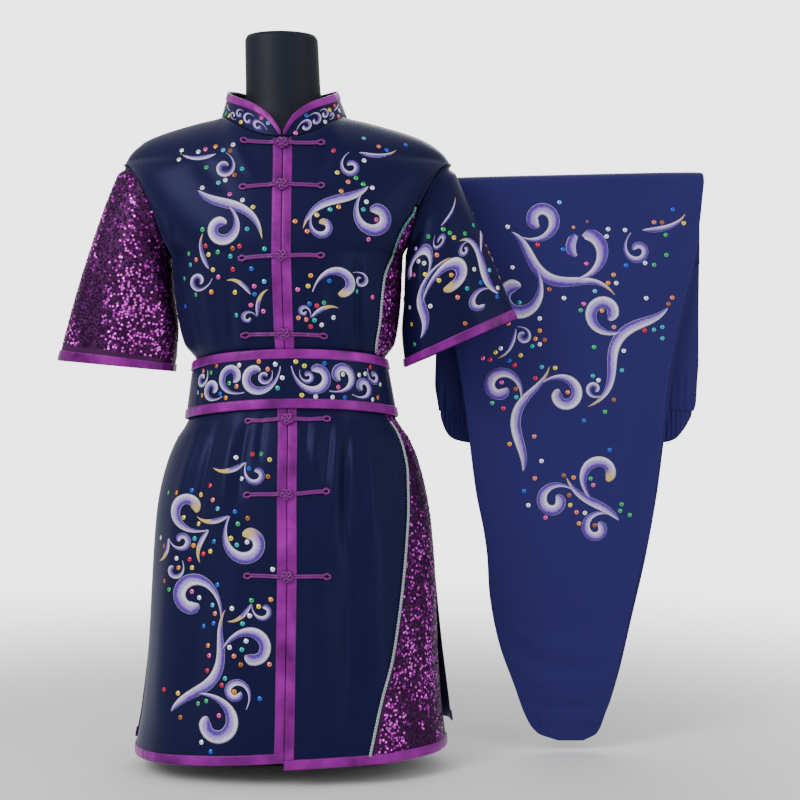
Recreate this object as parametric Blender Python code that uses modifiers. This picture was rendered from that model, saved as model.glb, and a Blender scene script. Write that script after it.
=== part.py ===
# A martial arts uniform: a short-sleeved satin jacket with its belt, worn by a limbless dress
# form, and the trousers hung folded over the arm of the same stand.
# +X is to the right as seen from the front, +Y is to the back and +Z is up. The origin is on the
# underside of the base plate, on the axis of the pole. Sizes are millimetres until a mesh is made.

import math

import bmesh
import bpy
import numpy as np
from mathutils import Vector
from mathutils.bvhtree import BVHTree

MM = 0.001
SEAM_GAP = 0.3
CLOTH = 1.2
TAPE = 1.4
TAPE_WIDTH = 13.0
TAPE_LIFT = CLOTH + 0.5
BRAID_WIDTH = 5.4
BRAID_LIFT = TAPE_LIFT + 0.4
STRAP_LIFT = TAPE_LIFT + TAPE + 0.4

# Jacket
ARMPIT_HEIGHT = 705.0
SHOULDER_ROUND = 70.0
NECK_SIDE = 86.0
NECK_FRONT_HEIGHT = 859.0
NECK_SIDE_HEIGHT = 899.0
NECK_BACK_HEIGHT = 907.0
ARMHOLE_DEPTH = 54.0
SLIT_TOP = 305.0
COLLAR_TOP_HEIGHT = 941.0
COLLAR_TOP_SIDE = 72.0
COLLAR_TOP_DEPTH = 63.0
COLLAR_WALL = 1.6
COLLAR_SEAM = 2.75
COLLAR_FOOT_FRONT, COLLAR_FOOT_BACK = 82.0, 68.0
COLLAR_TAPE_WIDTH = 11.5
FABRIC_SQUARENESS = 2.3
SLEEVE_ROUNDNESS, CUFF_ROUNDNESS = 0.85, 0.6
SLEEVE_SIDES = 24
SLEEVE_HEAD = 0.15
SEWN_OUT = 2.4

# Belt
BELT_HEIGHT = 79.0
BELT_WALL = 1.8
BELT_LIFT = TAPE_LIFT + TAPE + 0.6
BELT_OVERLAP = 24.0
BELT_LAP = 2 * TAPE + BELT_WALL + 2.4
BELT_BOTTOM = 480.0
BELT_FRONT_RISE, BELT_PEAK_RISE, BELT_SIDE_RISE = 8.0, 6.0, 2.0

# Frog fastenings
KNOT_WIDTH = 17.0
KNOT_DEPTH = 9.0
STRAP_LENGTH = 47.0
STRAP_WIDTH = 5.0
STRAP_WALL = 2.6

# Dress form and stand
FORM_BOTTOM = 330.0
PLATE_WIDTH, PLATE_DEPTH, PLATE_THICKNESS = 290.0, 255.0, 8.0
PLATE_CENTRE_Y = 97.5
PLATE_CORNER = 40.0
POLE_DIAMETER = 30.0
FLANGE_DIAMETER = 70.0
FLANGE_THICKNESS = 6.0
ARM_DIAMETER = 12.0
ARM_BEND = 60.0
POST_X, POST_Y = 80.0, 190.0

# Trousers, hung over the arm
ROD_HEIGHT = 818.0
ROD_Y = 81.0
LEG_THICKNESS = 6.0
FOLD_DROP = 9.0
FOLD_LOW_X, FOLD_HIGH_X = 208.0, 592.0
WAISTBAND_GATHERS = 24
GATHER_DEPTH = 0.9
SEAT_THICKNESS, SEAT_BULGE = 14.0, 8.0
BAND_THICKNESS, BAND_EDGE_THICKNESS = 13.0, 9.0

# Centre line and half width of the jacket, and how far its front and back stand from the axis
BODY_COLUMNS = ("height", "centre_x", "half_width", "front", "back")
BODY = (
    (0.0, 2.0, 215.0, 152.0, 152.0),
    (27.0, 2.0, 214.0, 151.0, 151.0),
    (75.0, 3.0, 207.0, 149.0, 149.0),
    (155.0, 4.0, 200.0, 145.0, 146.0),
    (268.0, 5.0, 195.0, 137.0, 140.0),
    (337.0, 4.5, 190.0, 131.0, 135.0),
    (373.0, 4.0, 185.0, 127.0, 131.0),
    (415.0, 4.0, 175.0, 121.0, 124.0),
    (452.0, 4.0, 160.0, 112.0, 114.0),
    (467.0, 3.5, 149.5, 106.0, 107.0),
    (487.0, 2.5, 139.5, 100.5, 101.0),
    (520.0, 1.5, 134.5, 97.5, 97.5),
    (560.0, 0.0, 129.5, 94.5, 94.0),
    (583.0, -1.0, 145.0, 101.0, 98.0),
    (611.0, -2.0, 151.5, 109.0, 100.0),
    (652.0, -3.0, 156.5, 114.0, 103.0),
    (705.0, -4.0, 160.0, 118.0, 106.0),
    (768.0, -4.0, 176.0, 109.0, 104.0),
    (820.0, -4.0, 206.0, 94.0, 95.0),
    (868.0, -6.0, 226.0, 80.0, 82.0),
    (905.0, -9.0, 230.0, 70.0, 70.0),
    (1013.0, -13.0, 230.0, 66.0, 66.0),
)

# The line of the armhole as seen from the front: distance from the centre line at each height
ARMHOLE_COLUMNS = ("height", "x")
ARMHOLE = (
    (705.0, 162.0),
    (735.0, 170.0),
    (770.0, 182.0),
    (800.0, 197.0),
    (822.0, 213.0),
    (834.0, 227.0),
    (860.0, 262.0),
)

# The ridge of the shoulder, and the line that it would follow on up the neck
SHOULDER_COLUMNS = ("x", "height")
SHOULDER = (
    (0.0, 1040.0),
    (60.0, 930.0),
    (86.0, 899.0),
    (110.0, 893.0),
    (140.0, 885.0),
    (180.0, 872.0),
    (202.0, 861.0),
    (217.0, 849.0),
    (227.0, 834.0),
    (262.0, 770.0),
)

# Seam between the left front and its sequinned side panel, where the braid lies
BRAID_COLUMNS = ("height", "x")
BRAID = (
    (0.0, 104.0),
    (49.0, 113.0),
    (114.0, 125.0),
    (162.0, 137.0),
    (215.0, 145.0),
    (267.0, 151.0),
    (325.0, 156.0),
    (362.0, 158.0),
    (406.0, 157.0),
    (439.0, 151.0),
    (460.0, 143.0),
    (489.0, 126.0),
    (520.0, 119.0),
    (568.0, 119.0),
    (612.0, 126.0),
    (668.0, 133.0),
    (705.0, 146.0),
    (736.0, 159.0),
    (768.0, 180.0),
)

# Free edge of the collar: how much of its full height it has at each turn from the centre front
COLLAR_EDGE_COLUMNS = ("turn", "rise")
COLLAR_EDGE = (
    (0.0, 0.05),
    (4.0, 0.19),
    (13.0, 0.40),
    (31.0, 0.57),
    (55.0, 0.66),
    (75.0, 0.76),
    (95.0, 0.92),
    (120.0, 1.0),
    (180.0, 1.0),
)

# Soft vertical folds: where they are centred, how wide, how deep, and between which heights
FOLD_COLUMNS = ("face", "x_share", "width_share", "depth", "bottom", "top")
FOLDS = (
    (-1, -0.80, 0.10, 3.5, 0.0, 470.0),
    (-1, -0.45, 0.09, 3.0, 60.0, 480.0),
    (-1, 0.44, 0.07, -4.0, 90.0, 480.0),
    (-1, 0.62, 0.08, 4.0, 0.0, 470.0),
    (-1, 0.93, 0.06, 3.0, 0.0, 420.0),
    (-1, 0.38, 0.06, -3.5, 560.0, 690.0),
    (-1, 0.55, 0.06, 3.5, 560.0, 680.0),
    (-1, -0.40, 0.07, 3.0, 560.0, 670.0),
    (-1, -0.60, 0.06, -2.5, 560.0, 650.0),
    (1, -0.85, 0.07, 4.0, 0.0, 470.0),
    (1, -0.62, 0.08, -5.0, 0.0, 478.0),
    (1, -0.35, 0.08, 5.0, 0.0, 478.0),
    (1, -0.08, 0.08, -4.5, 0.0, 478.0),
    (1, 0.22, 0.09, 5.5, 0.0, 478.0),
    (1, 0.50, 0.08, -4.0, 0.0, 478.0),
    (1, 0.75, 0.07, 4.5, 0.0, 470.0),
    (1, -0.45, 0.08, 4.0, 560.0, 720.0),
    (1, -0.15, 0.07, -3.5, 560.0, 690.0),
    (1, 0.20, 0.08, 4.0, 560.0, 730.0),
    (1, 0.52, 0.07, -3.5, 560.0, 680.0),
)

# Sleeves: outer and inner edge of each ring from the armhole to the cuff, and its half depth
SLEEVE_COLUMNS = ("along", "outer_x", "outer_z", "inner_x", "inner_z", "half_depth")
RIGHT_SLEEVE = (
    (0.00, -234.0, 834.0, -168.5, 704.0, 54.0),
    (0.18, -253.0, 785.0, -166.5, 682.0, 58.0),
    (0.45, -277.0, 714.0, -164.0, 645.0, 59.0),
    (0.72, -299.0, 645.0, -159.0, 605.0, 54.0),
    (1.00, -323.0, 560.0, -163.0, 545.0, 45.0),
)
LEFT_SLEEVE = (
    (0.00, 225.5, 834.0, 160.5, 704.0, 54.0),
    (0.18, 244.0, 789.0, 159.5, 682.0, 58.0),
    (0.45, 267.0, 735.0, 158.5, 645.0, 59.0),
    (0.72, 291.0, 679.0, 155.5, 603.0, 52.0),
    (1.00, 316.0, 618.0, 160.0, 551.0, 44.0),
)

# Dress form: half width, front and back of each ring
FORM_COLUMNS = ("height", "half_width", "front", "back")
FORM = (
    (330.0, 158.0, 104.0, 112.0),
    (370.0, 160.0, 106.0, 114.0),
    (415.0, 155.0, 105.0, 111.0),
    (452.0, 148.0, 102.0, 105.0),
    (487.0, 136.0, 97.0, 97.5),
    (520.0, 132.5, 95.5, 95.5),
    (560.0, 128.3, 93.3, 92.8),
    (583.0, 137.0, 97.0, 92.5),
    (611.0, 145.0, 104.0, 95.0),
    (652.0, 150.0, 109.0, 98.0),
    (705.0, 154.0, 112.0, 100.0),
    (740.0, 161.0, 107.0, 100.0),
    (770.0, 171.0, 100.0, 97.0),
    (800.0, 184.0, 88.0, 89.0),
    (822.0, 192.0, 77.0, 80.0),
    (838.0, 192.0, 68.0, 72.0),
    (850.0, 184.0, 62.0, 66.0),
    (862.0, 163.0, 58.0, 61.0),
    (872.0, 134.0, 55.0, 57.0),
    (882.0, 102.0, 51.0, 52.0),
    (891.0, 76.0, 46.0, 47.0),
    (902.0, 59.0, 42.5, 43.0),
    (920.0, 53.5, 40.5, 41.0),
    (950.0, 52.0, 40.0, 40.0),
    (1007.0, 51.0, 40.0, 40.0),
    (1013.0, 48.5, 37.5, 37.5),
)

# Frog fastenings: height of each knot and how far its straps climb to their ends
FROG_COLUMNS = ("height", "right_rise", "left_rise")
FROGS = (
    (849.0, 4.0, 1.0),
    (791.0, -3.0, -1.0),
    (696.0, -3.0, 1.0),
    (594.0, -2.0, -3.0),
    (479.0, -3.0, 0.0),
    (381.0, -1.0, 4.0),
    (274.0, 1.0, 0.0),
)

# The leg that shows, and the leg behind it: left and right edge from the ankle to the fold
LEG_COLUMNS = ("height", "left_x", "right_x")
FRONT_LEG = (
    (14.0, 380.0, 418.0),
    (24.0, 352.0, 437.0),
    (43.0, 337.0, 446.0),
    (98.0, 316.0, 462.0),
    (150.0, 297.0, 474.0),
    (193.0, 287.0, 484.0),
    (235.0, 281.0, 493.0),
    (275.0, 279.0, 503.0),
    (314.0, 274.0, 514.0),
    (369.0, 263.0, 521.0),
    (461.0, 251.0, 533.0),
    (505.0, 245.0, 537.0),
    (571.0, 234.0, 547.0),
    (640.0, 222.0, 562.0),
    (700.0, 214.0, 577.0),
    (790.0, 208.0, 589.0),
    (830.0, 208.0, 592.0),
)
BACK_LEG = (
    (30.0, 385.0, 430.0),
    (40.0, 358.0, 444.0),
    (98.0, 326.0, 466.0),
    (193.0, 297.0, 489.0),
    (275.0, 289.0, 508.0),
    (369.0, 273.0, 525.0),
    (461.0, 261.0, 537.0),
    (571.0, 244.0, 552.0),
    (700.0, 222.0, 580.0),
    (790.0, 211.0, 588.0),
    (830.0, 211.0, 589.0),
)
SEAT = (
    (489.0, 210.0, 583.0),
    (500.0, 208.0, 586.0),
    (530.0, 204.0, 588.0),
    (563.0, 205.0, 590.0),
    (619.0, 206.0, 590.0),
    (703.6, 207.0, 591.0),
)
WAISTBAND = (
    (442.0, 240.0, 545.0),
    (449.0, 224.0, 560.0),
    (468.0, 217.0, 572.0),
    (484.0, 214.0, 580.0),
    (488.4, 217.0, 577.0),
)


for old in list(bpy.data.objects):
    bpy.data.objects.remove(old, do_unlink=True)

uniform = bpy.data.collections.new("martial_arts_uniform")
bpy.context.scene.collection.children.link(uniform)


def column(table, names, name):
    place = names.index(name)
    return np.array([row[place] for row in table])


def smooth(places, values, place):
    """A smooth curve through a short table that never overshoots its rows."""
    slopes = np.diff(values) / np.diff(places)
    tangents = np.zeros(len(values))
    tangents[0], tangents[-1] = slopes[0], slopes[-1]
    for k in range(1, len(values) - 1):
        if slopes[k - 1] * slopes[k] > 0:
            tangents[k] = 2 * slopes[k - 1] * slopes[k] / (slopes[k - 1] + slopes[k])
    place = min(max(place, places[0]), places[-1])
    k = min(int(np.searchsorted(places, place, side="right")) - 1, len(values) - 2)
    step = places[k + 1] - places[k]
    t = (place - places[k]) / step
    rise = values[k] * (2 * t**3 - 3 * t**2 + 1) + values[k + 1] * (3 * t**2 - 2 * t**3)
    return rise + step * (tangents[k] * (t**3 - 2 * t**2 + t) + tangents[k + 1] * (t**3 - t**2))


def table_curve(table, names, name):
    places = column(table, names, names[0])
    values = column(table, names, name)
    return lambda place: float(smooth(places, values, place))


def ease(t):
    t = min(max(t, 0.0), 1.0)
    return t * t * (3 - 2 * t)


def oval(share, squareness):
    return max(0.0, 1 - abs(share) ** squareness) ** (1 / squareness)


centre_x = table_curve(BODY, BODY_COLUMNS, "centre_x")
half_width = table_curve(BODY, BODY_COLUMNS, "half_width")
front_depth = table_curve(BODY, BODY_COLUMNS, "front")
back_depth = table_curve(BODY, BODY_COLUMNS, "back")
armhole_x = table_curve(ARMHOLE, ARMHOLE_COLUMNS, "x")
shoulder_height = table_curve(SHOULDER, SHOULDER_COLUMNS, "height")
braid_x = table_curve(BRAID, BRAID_COLUMNS, "x")
collar_rise = table_curve(COLLAR_EDGE, COLLAR_EDGE_COLUMNS, "rise")
SHOULDER_END_HEIGHT = 834.0
NECK_SHARE = NECK_SIDE / armhole_x(NECK_SIDE_HEIGHT)


def edge_x(height):
    """Distance from the centre line to the side seam, or to the armhole above it."""
    if height <= ARMPIT_HEIGHT:
        return half_width(height)
    lift = ease((height - ARMPIT_HEIGHT) / 20)
    return half_width(ARMPIT_HEIGHT) * (1 - lift) + armhole_x(height) * lift


def armhole_y(height):
    """Half the gap between the front and the back edge of the armhole."""
    share = (height - ARMPIT_HEIGHT) / (SHOULDER_END_HEIGHT - ARMPIT_HEIGHT)
    share = min(max(share, 0.0), 1.0)
    return ARMHOLE_DEPTH * 2 * math.sqrt(share * (1 - share))


def fold_depth(face, share, height):
    total = 0.0
    for row in FOLDS:
        fold = dict(zip(FOLD_COLUMNS, row))
        if fold["face"] == face:
            across = math.exp(-(((share - fold["x_share"]) / fold["width_share"]) ** 2))
            span = 0.3 * (fold["top"] - fold["bottom"])
            lower = 1.0 if fold["bottom"] <= 0 else ease((height - fold["bottom"]) / span)
            total += fold["depth"] * across * lower * ease((fold["top"] - height) / span)
    return total


def flare(face, share, height):
    """The back skirt stands out beyond the front one at the side slits."""
    if face < 0 or height > SLIT_TOP:
        return 0.0
    reach = 12.0 if share > 0 else 4.0
    return reach * abs(share) ** 3 * ease((SLIT_TOP - height) / (SLIT_TOP - 60))


def torso(face, share, height):
    """Inner face of the jacket; face is -1 for the front, share runs from side seam to side seam."""
    edge = edge_x(height)
    depth = front_depth(height) if face < 0 else back_depth(height)
    gap = armhole_y(height) if height > ARMPIT_HEIGHT else 0.0
    ridge = shoulder_height(abs(share) * edge)
    over = min(max((ridge - height) / SHOULDER_ROUND, 0.0), 1.0)
    over = math.sqrt(1 - (1 - over) ** 2)
    reach = (gap + (depth - gap) * oval(share, FABRIC_SQUARENESS)) * over
    opening = 0.5 * SEAM_GAP
    if height < SLIT_TOP:
        opening += (6.0 if face < 0 else 1.0) * ease((SLIT_TOP - height) / 150)
    reach = max(reach, opening)
    crease = fold_depth(face, share, height)
    lean = oval(share, 2.0)
    x = centre_x(height) + share * (edge + flare(face, share, height)) + share * crease * (1 - lean)
    return np.array([x, face * (reach + crease * lean), height])


def neckline(face, distance):
    share = min(abs(distance) / NECK_SIDE, 1.0)
    if face < 0:
        return NECK_FRONT_HEIGHT + (NECK_SIDE_HEIGHT - NECK_FRONT_HEIGHT) * share**2.4
    return NECK_BACK_HEIGHT + (NECK_SIDE_HEIGHT - NECK_BACK_HEIGHT) * share**2


def top_height(face, share):
    """Where a column of the panel ends, on the neckline or on the shoulder seam."""
    low, high = ARMPIT_HEIGHT, 1000.0
    for _ in range(40):
        height = 0.5 * (low + high)
        distance = abs(share) * edge_x(height)
        limit = neckline(face, distance) if distance < NECK_SIDE else shoulder_height(distance)
        if limit > height:
            low = height
        else:
            high = height
    on_neck = abs(share) * edge_x(low) < NECK_SIDE
    return low - (0.5 * SEAM_GAP if on_neck else 0.0)


def hem_height(face, share):
    if face < 0:
        return 33.0 - 13.0 * abs(share) if share < 0 else 23.0 + 6.0 * math.sqrt(share)
    return 30.0 + (26.0 * share**4 if share > 0 else 4.0 * share**4)


ROW_HEIGHTS = (80.0, 150.0, 220.0, 290.0, 350.0, 410.0, 450.0, 466.0, 477.0, 487.0, 520.0,
               560.0, 572.0, 583.0, 611.0, 652.0, ARMPIT_HEIGHT)
UPPER_SHARES = (0.25, 0.5, 0.68, 0.82, 0.93, 1.0)
LAST_LEVEL = len(ROW_HEIGHTS) + len(UPPER_SHARES)
SIDE_PANEL_LEVEL = len(ROW_HEIGHTS) + 2


def level_height(face, share, level):
    """Height of a row of the panels: level 0 is the hem and the last is the neck and shoulder."""
    whole = min(int(level), LAST_LEVEL - 1)
    heights = []
    for k in (whole, whole + 1):
        if k == 0:
            heights.append(hem_height(face, share))
        elif k <= len(ROW_HEIGHTS):
            heights.append(ROW_HEIGHTS[k - 1])
        else:
            rise = top_height(face, share) - ARMPIT_HEIGHT
            heights.append(ARMPIT_HEIGHT + rise * UPPER_SHARES[k - 1 - len(ROW_HEIGHTS)])
    return heights[0] + (heights[1] - heights[0]) * (level - whole)


def panel(face, share, level):
    return torso(face, share, level_height(face, share, level))


def finish(name, colour, roughness, metallic=0.0, sheen=0.0):
    material = bpy.data.materials.new(name)
    material.use_nodes = True
    shader = material.node_tree.nodes["Principled BSDF"]
    shader.inputs["Base Color"].default_value = (*colour, 1.0)
    shader.inputs["Roughness"].default_value = roughness
    shader.inputs["Metallic"].default_value = metallic
    shader.inputs["Sheen Weight"].default_value = sheen
    material.diffuse_color = (*colour, 1.0)
    return material


NAVY = finish("navy_satin", (0.018, 0.022, 0.085), 0.42, sheen=0.2)
PURPLE = finish("purple_satin", (0.30, 0.035, 0.36), 0.38, sheen=0.2)
SEQUIN = finish("sequinned_purple", (0.24, 0.02, 0.27), 0.25, metallic=0.6)
BRAIDING = finish("silver_braid", (0.55, 0.62, 0.62), 0.35, metallic=0.7)
CORDING = finish("purple_cord", (0.26, 0.03, 0.30), 0.45)
FORM_BLACK = finish("form_black", (0.012, 0.013, 0.018), 0.5)
STAND_STEEL = finish("stand_steel", (0.05, 0.05, 0.055), 0.35, metallic=0.9)


def make_object(name, points, faces, material):
    mesh = bpy.data.meshes.new(name)
    mesh.from_pydata([tuple(np.asarray(p) * MM) for p in points], [], faces)
    mesh.materials.append(material)
    mesh.shade_smooth()
    mesh.update()
    made = bpy.data.objects.new(name, mesh)
    uniform.objects.link(made)
    return made


def cloth(name, rows, material, wall=CLOTH, outward=True):
    """A sheet through rows of points, given its wall on the outer side."""
    wide = len(rows[0])
    points = [point for row in rows for point in row]
    faces = []
    for r in range(len(rows) - 1):
        for c in range(wide - 1):
            a = r * wide + c
            quad = (a, a + 1, a + wide + 1, a + wide)
            faces.append(quad if outward else quad[::-1])
    made = make_object(name, points, faces, material)
    solidify = made.modifiers.new("wall", "SOLIDIFY")
    solidify.thickness = wall * MM
    solidify.offset = 1.0
    solidify.use_even_offset = False
    return made


def lofted(name, rings, material):
    """A solid through closed rings of points, capped at both ends."""
    count = len(rings[0])
    points = [point for ring in rings for point in ring]
    faces = []
    for r in range(len(rings) - 1):
        for c in range(count):
            a, b = r * count + c, r * count + (c + 1) % count
            faces.append((a, b, b + count, a + count))
    faces.append(tuple(reversed(range(count))))
    faces.append(tuple(range((len(rings) - 1) * count, len(rings) * count)))
    return make_object(name, points, faces, material)


FRONT_SHARES = (0.0, 0.12, 0.23, NECK_SHARE, 0.47, 0.64, 0.8, 0.92, 0.98, 1.0)
BACK_SHARES = (0.0, 0.17, NECK_SHARE, 0.5, 0.68, 0.83, 0.93, 0.985, 1.0)
SIDE_STEPS = (0.0, 0.3, 0.6, 0.85, 0.96, 1.0)


def seam_share(level):
    """Share of the front's width where the braid seam lies on this row."""
    share = 0.8
    for _ in range(12):
        height = level_height(-1, share, level)
        share = min(braid_x(height) / edge_x(height), 0.975)
    return share


def grid_normals(rows, outward):
    """Unit normals of a grid of points, on its outer side."""
    grid = np.array(rows)
    along, across = np.gradient(grid, axis=0), np.gradient(grid, axis=1)
    normals = np.cross(across, along) * (1 if outward else -1)
    return normals / np.linalg.norm(normals, axis=2, keepdims=True)


def on_grid(grid, normals, row, place, lift):
    """A point between the points of a panel, moved out from it."""
    total = np.zeros(3)
    facing = np.zeros(3)
    r = min(int(row), len(grid) - 2)
    c = min(int(place), len(grid[0]) - 2)
    for dr, row_weight in ((0, 1 - (row - r)), (1, row - r)):
        for dc, weight in ((0, 1 - (place - c)), (1, place - c)):
            total += grid[r + dr][c + dc] * row_weight * weight
            facing += normals[r + dr][c + dc] * row_weight * weight
    return total + facing / np.linalg.norm(facing) * lift


def jacket_grids():
    """Rows of points of each panel, from the hem up, on the inner face of the cloth."""
    levels = range(LAST_LEVEL + 1)
    near = 0.5 * SEAM_GAP / 150
    split = SEAM_GAP / 150
    right = [[panel(-1, -max(share, near), level) for share in FRONT_SHARES[::-1]] for level in levels]
    left = []
    for level in levels:
        far = seam_share(level) - split if level <= SIDE_PANEL_LEVEL else 1.0
        left.append([panel(-1, max(share * far, near), level) for share in FRONT_SHARES])
    side = []
    for level in range(SIDE_PANEL_LEVEL + 1):
        start = seam_share(level) + split
        side.append([panel(-1, start + (1 - start) * step, level) for step in SIDE_STEPS])
    across = [-share for share in BACK_SHARES[:0:-1]] + list(BACK_SHARES)
    back = [[panel(1, share, level) for share in across] for level in levels]
    return {"front_right": right, "front_left": left, "side_panel_left": side, "back": back}


def jacket_body(grids):
    cloth("jacket_front_right", grids["front_right"], NAVY)
    cloth("jacket_front_left", grids["front_left"], NAVY)
    cloth("jacket_side_panel_left", grids["side_panel_left"], SEQUIN)
    cloth("jacket_back", grids["back"], NAVY, outward=False)


def step_across(grid, row, first, second):
    """Width of one step of a panel's grid on a row."""
    r = min(int(round(row)), len(grid) - 1)
    return float(np.linalg.norm(grid[r][second] - grid[r][first]))


def hem_row(grid, place, height):
    """Fractional row that lies this far above the hem in one column of a panel."""
    return height / (grid[1][place][2] - grid[0][place][2])


def placket_tapes(grids):
    for name, label, first, inward in (
        ("front_right", "placket_tape_right", -1, -1),
        ("front_left", "placket_tape_left", 0, 1),
    ):
        grid = grids[name]
        normals = grid_normals(grid, True)
        start = len(grid[0]) - 1 if first else 0
        rows = []
        places = [hem_row(grid, start, TAPE_WIDTH + 0.6)] + list(range(1, LAST_LEVEL)) + [LAST_LEVEL - 0.03]
        for place in places:
            wide = TAPE_WIDTH / step_across(grid, place, start, start + inward)
            row = [on_grid(grid, normals, place, start + inward * wide * t, TAPE_LIFT) for t in (0, 0.5, 1)]
            rows.append(row if inward > 0 else row[::-1])
        cloth(label, rows, PURPLE, TAPE)


def hem_tapes(grids):
    for name, grid in grids.items():
        outward = name != "back"
        normals = grid_normals(grid, outward)
        wide = range(len(grid[0]))
        top = [TAPE_WIDTH / (grid[1][c][2] - grid[0][c][2]) for c in wide]
        rows = [[on_grid(grid, normals, top[c] * k, c, TAPE_LIFT) for c in wide] for k in (0.0, 1.0)]
        cloth(f"hem_tape_{name}", rows, PURPLE, TAPE, outward=outward)


def side_braids(grids):
    """Flat braid over the seam of the side panel, on the skirt and on the bodice."""
    left, side = grids["front_left"], grids["side_panel_left"]
    left_normals, side_normals = grid_normals(left, True), grid_normals(side, True)
    last = len(left[0]) - 1
    belt_low, belt_high = ROW_HEIGHTS.index(477.0) + 1, ROW_HEIGHTS.index(572.0) + 1
    skirt = [hem_row(left, last, TAPE_WIDTH + 0.8)] + list(range(1, belt_low))
    bodice = list(range(belt_high, SIDE_PANEL_LEVEL)) + [SIDE_PANEL_LEVEL - 0.35]
    for name, places in (("side_braid_skirt", skirt), ("side_braid_bodice", bodice)):
        rows = []
        for place in places:
            back = 0.5 * BRAID_WIDTH / step_across(left, place, last - 1, last)
            on = 0.5 * BRAID_WIDTH / step_across(side, place, 0, 1)
            rows.append([on_grid(left, left_normals, place, last - back, BRAID_LIFT),
                         on_grid(side, side_normals, place, min(on, 3.0), BRAID_LIFT)])
        cloth(name, rows, BRAIDING, TAPE)


def waist_angle_point(angle, height, lift):
    """A point round the waist; angle 0 is the centre front and 90 the wearer's left side."""
    turn = (angle + 180.0) % 360.0 - 180.0
    face = -1 if abs(turn) <= 90 else 1
    share = math.sin(math.radians(turn))
    edge, depth = edge_x(height), front_depth(height) if face < 0 else back_depth(height)
    x = centre_x(height) + share * (edge + lift)
    return np.array([x, face * oval(share, FABRIC_SQUARENESS) * (depth + lift), height])


def belt_bottom(angle):
    """The belt rides highest at the centre front."""
    turn = math.radians(angle)
    peak = BELT_PEAK_RISE * max(math.cos(turn), 0.0) ** 2
    return BELT_BOTTOM + BELT_FRONT_RISE * math.cos(turn) + peak + BELT_SIDE_RISE * math.sin(turn)


def belt_band(name, rows_up, lift, wall, material):
    """A straight-sided band round the waist, its last part lapped over its start at the back."""
    steps = 44
    rows = []
    for up in rows_up:
        row = []
        for k in range(steps + 1):
            angle = -180.0 + (360.0 + BELT_OVERLAP) * k / steps
            lap = BELT_LAP * ease((angle - 150.0) / 30.0)
            low = waist_angle_point(angle, belt_bottom(angle), lift + lap)
            high = waist_angle_point(angle, belt_bottom(angle) + BELT_HEIGHT, lift + lap)
            row.append(low + (high - low) * up / BELT_HEIGHT)
        rows.append(row)
    return cloth(name, rows, material, wall)


def belt():
    tape_top = BELT_HEIGHT - TAPE_WIDTH
    belt_band("belt", (0.0, TAPE_WIDTH, tape_top, BELT_HEIGHT), BELT_LIFT, BELT_WALL, NAVY)
    lift = BELT_LIFT + BELT_WALL + 0.4
    belt_band("belt_tape_lower", (0.0, TAPE_WIDTH), lift, TAPE, PURPLE)
    belt_band("belt_tape_upper", (tape_top, BELT_HEIGHT), lift, TAPE, PURPLE)


def collar_base(turn):
    """Foot of the collar on the neckline; turn runs from the centre front (0) to the back (180)."""
    angle = math.radians(turn)
    face = -1 if abs(turn) <= 90 else 1
    distance = NECK_SIDE * math.sin(angle)
    height = neckline(face, distance)
    centre = centre_x(height)
    depth = COLLAR_FOOT_FRONT if face < 0 else COLLAR_FOOT_BACK
    return np.array([centre + distance, -depth * math.cos(angle), height + COLLAR_SEAM])


def collar_top(turn):
    angle = math.radians(turn)
    x = centre_x(COLLAR_TOP_HEIGHT) + COLLAR_TOP_SIDE * math.sin(angle)
    return np.array([x, -COLLAR_TOP_DEPTH * math.cos(angle), COLLAR_TOP_HEIGHT])


def collar_point(turn, share):
    """A point between the collar's foot and its free edge, which rounds off at the centre front."""
    foot = collar_base(turn)
    return foot + (collar_top(turn) - foot) * share * collar_rise(abs(turn))


def collar():
    half = [1.0, 4.0, 8.0, 14.0, 22.0, 32.0, 44.0, 56.0, 68.0, 80.0, 92.0, 105.0, 120.0, 135.0, 150.0, 165.0]
    around = half + [180.0] + [-turn for turn in half[::-1]]
    grid = [[collar_point(turn, share) for turn in around] for share in (0.0, 0.33, 0.66, 1.0)]
    cloth("collar", grid, NAVY, COLLAR_WALL)
    normals = grid_normals(grid, True)
    rows = []
    for edge in (0, 1):
        row = []
        for c, turn in enumerate(around):
            tall = float(np.linalg.norm(grid[3][c] - grid[0][c]))
            drop = 0.0 if edge else 3 * min(COLLAR_TAPE_WIDTH / tall, 0.9)
            row.append(on_grid(grid, normals, 3.0 - drop, c, COLLAR_WALL + 0.5))
        rows.append(row)
    cloth("collar_tape", rows, PURPLE, TAPE)


def sleeve_ring(table, along, phase):
    """A point of a sleeve; phase 0 is the outer edge, 90 the front and 180 the inner edge."""
    value = {name: table_curve(table, SLEEVE_COLUMNS, name)(along) for name in SLEEVE_COLUMNS[1:]}
    middle = 0.5 * (1 + math.cos(phase))
    power = SLEEVE_ROUNDNESS + (CUFF_ROUNDNESS - SLEEVE_ROUNDNESS) * ease(along / 0.35)
    bow = math.copysign(abs(math.sin(phase)) ** power, math.sin(phase))
    x = value["inner_x"] + (value["outer_x"] - value["inner_x"]) * middle
    z = value["inner_z"] + (value["outer_z"] - value["inner_z"]) * middle
    side = math.copysign(1.0, value["outer_x"])
    straight = abs(value["outer_x"] - centre_x(z)) - abs(value["inner_x"] - centre_x(z))
    line = abs(value["inner_x"] - centre_x(z)) + straight * middle
    if along < SLEEVE_HEAD and z > ARMPIT_HEIGHT:
        bend = (armhole_x(min(z, SHOULDER_END_HEIGHT)) + SEWN_OUT - line) * (1 - ease(along / SLEEVE_HEAD))
        x += side * min(bend, 0.0)
    return np.array([x, -bow * value["half_depth"], z])


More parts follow.
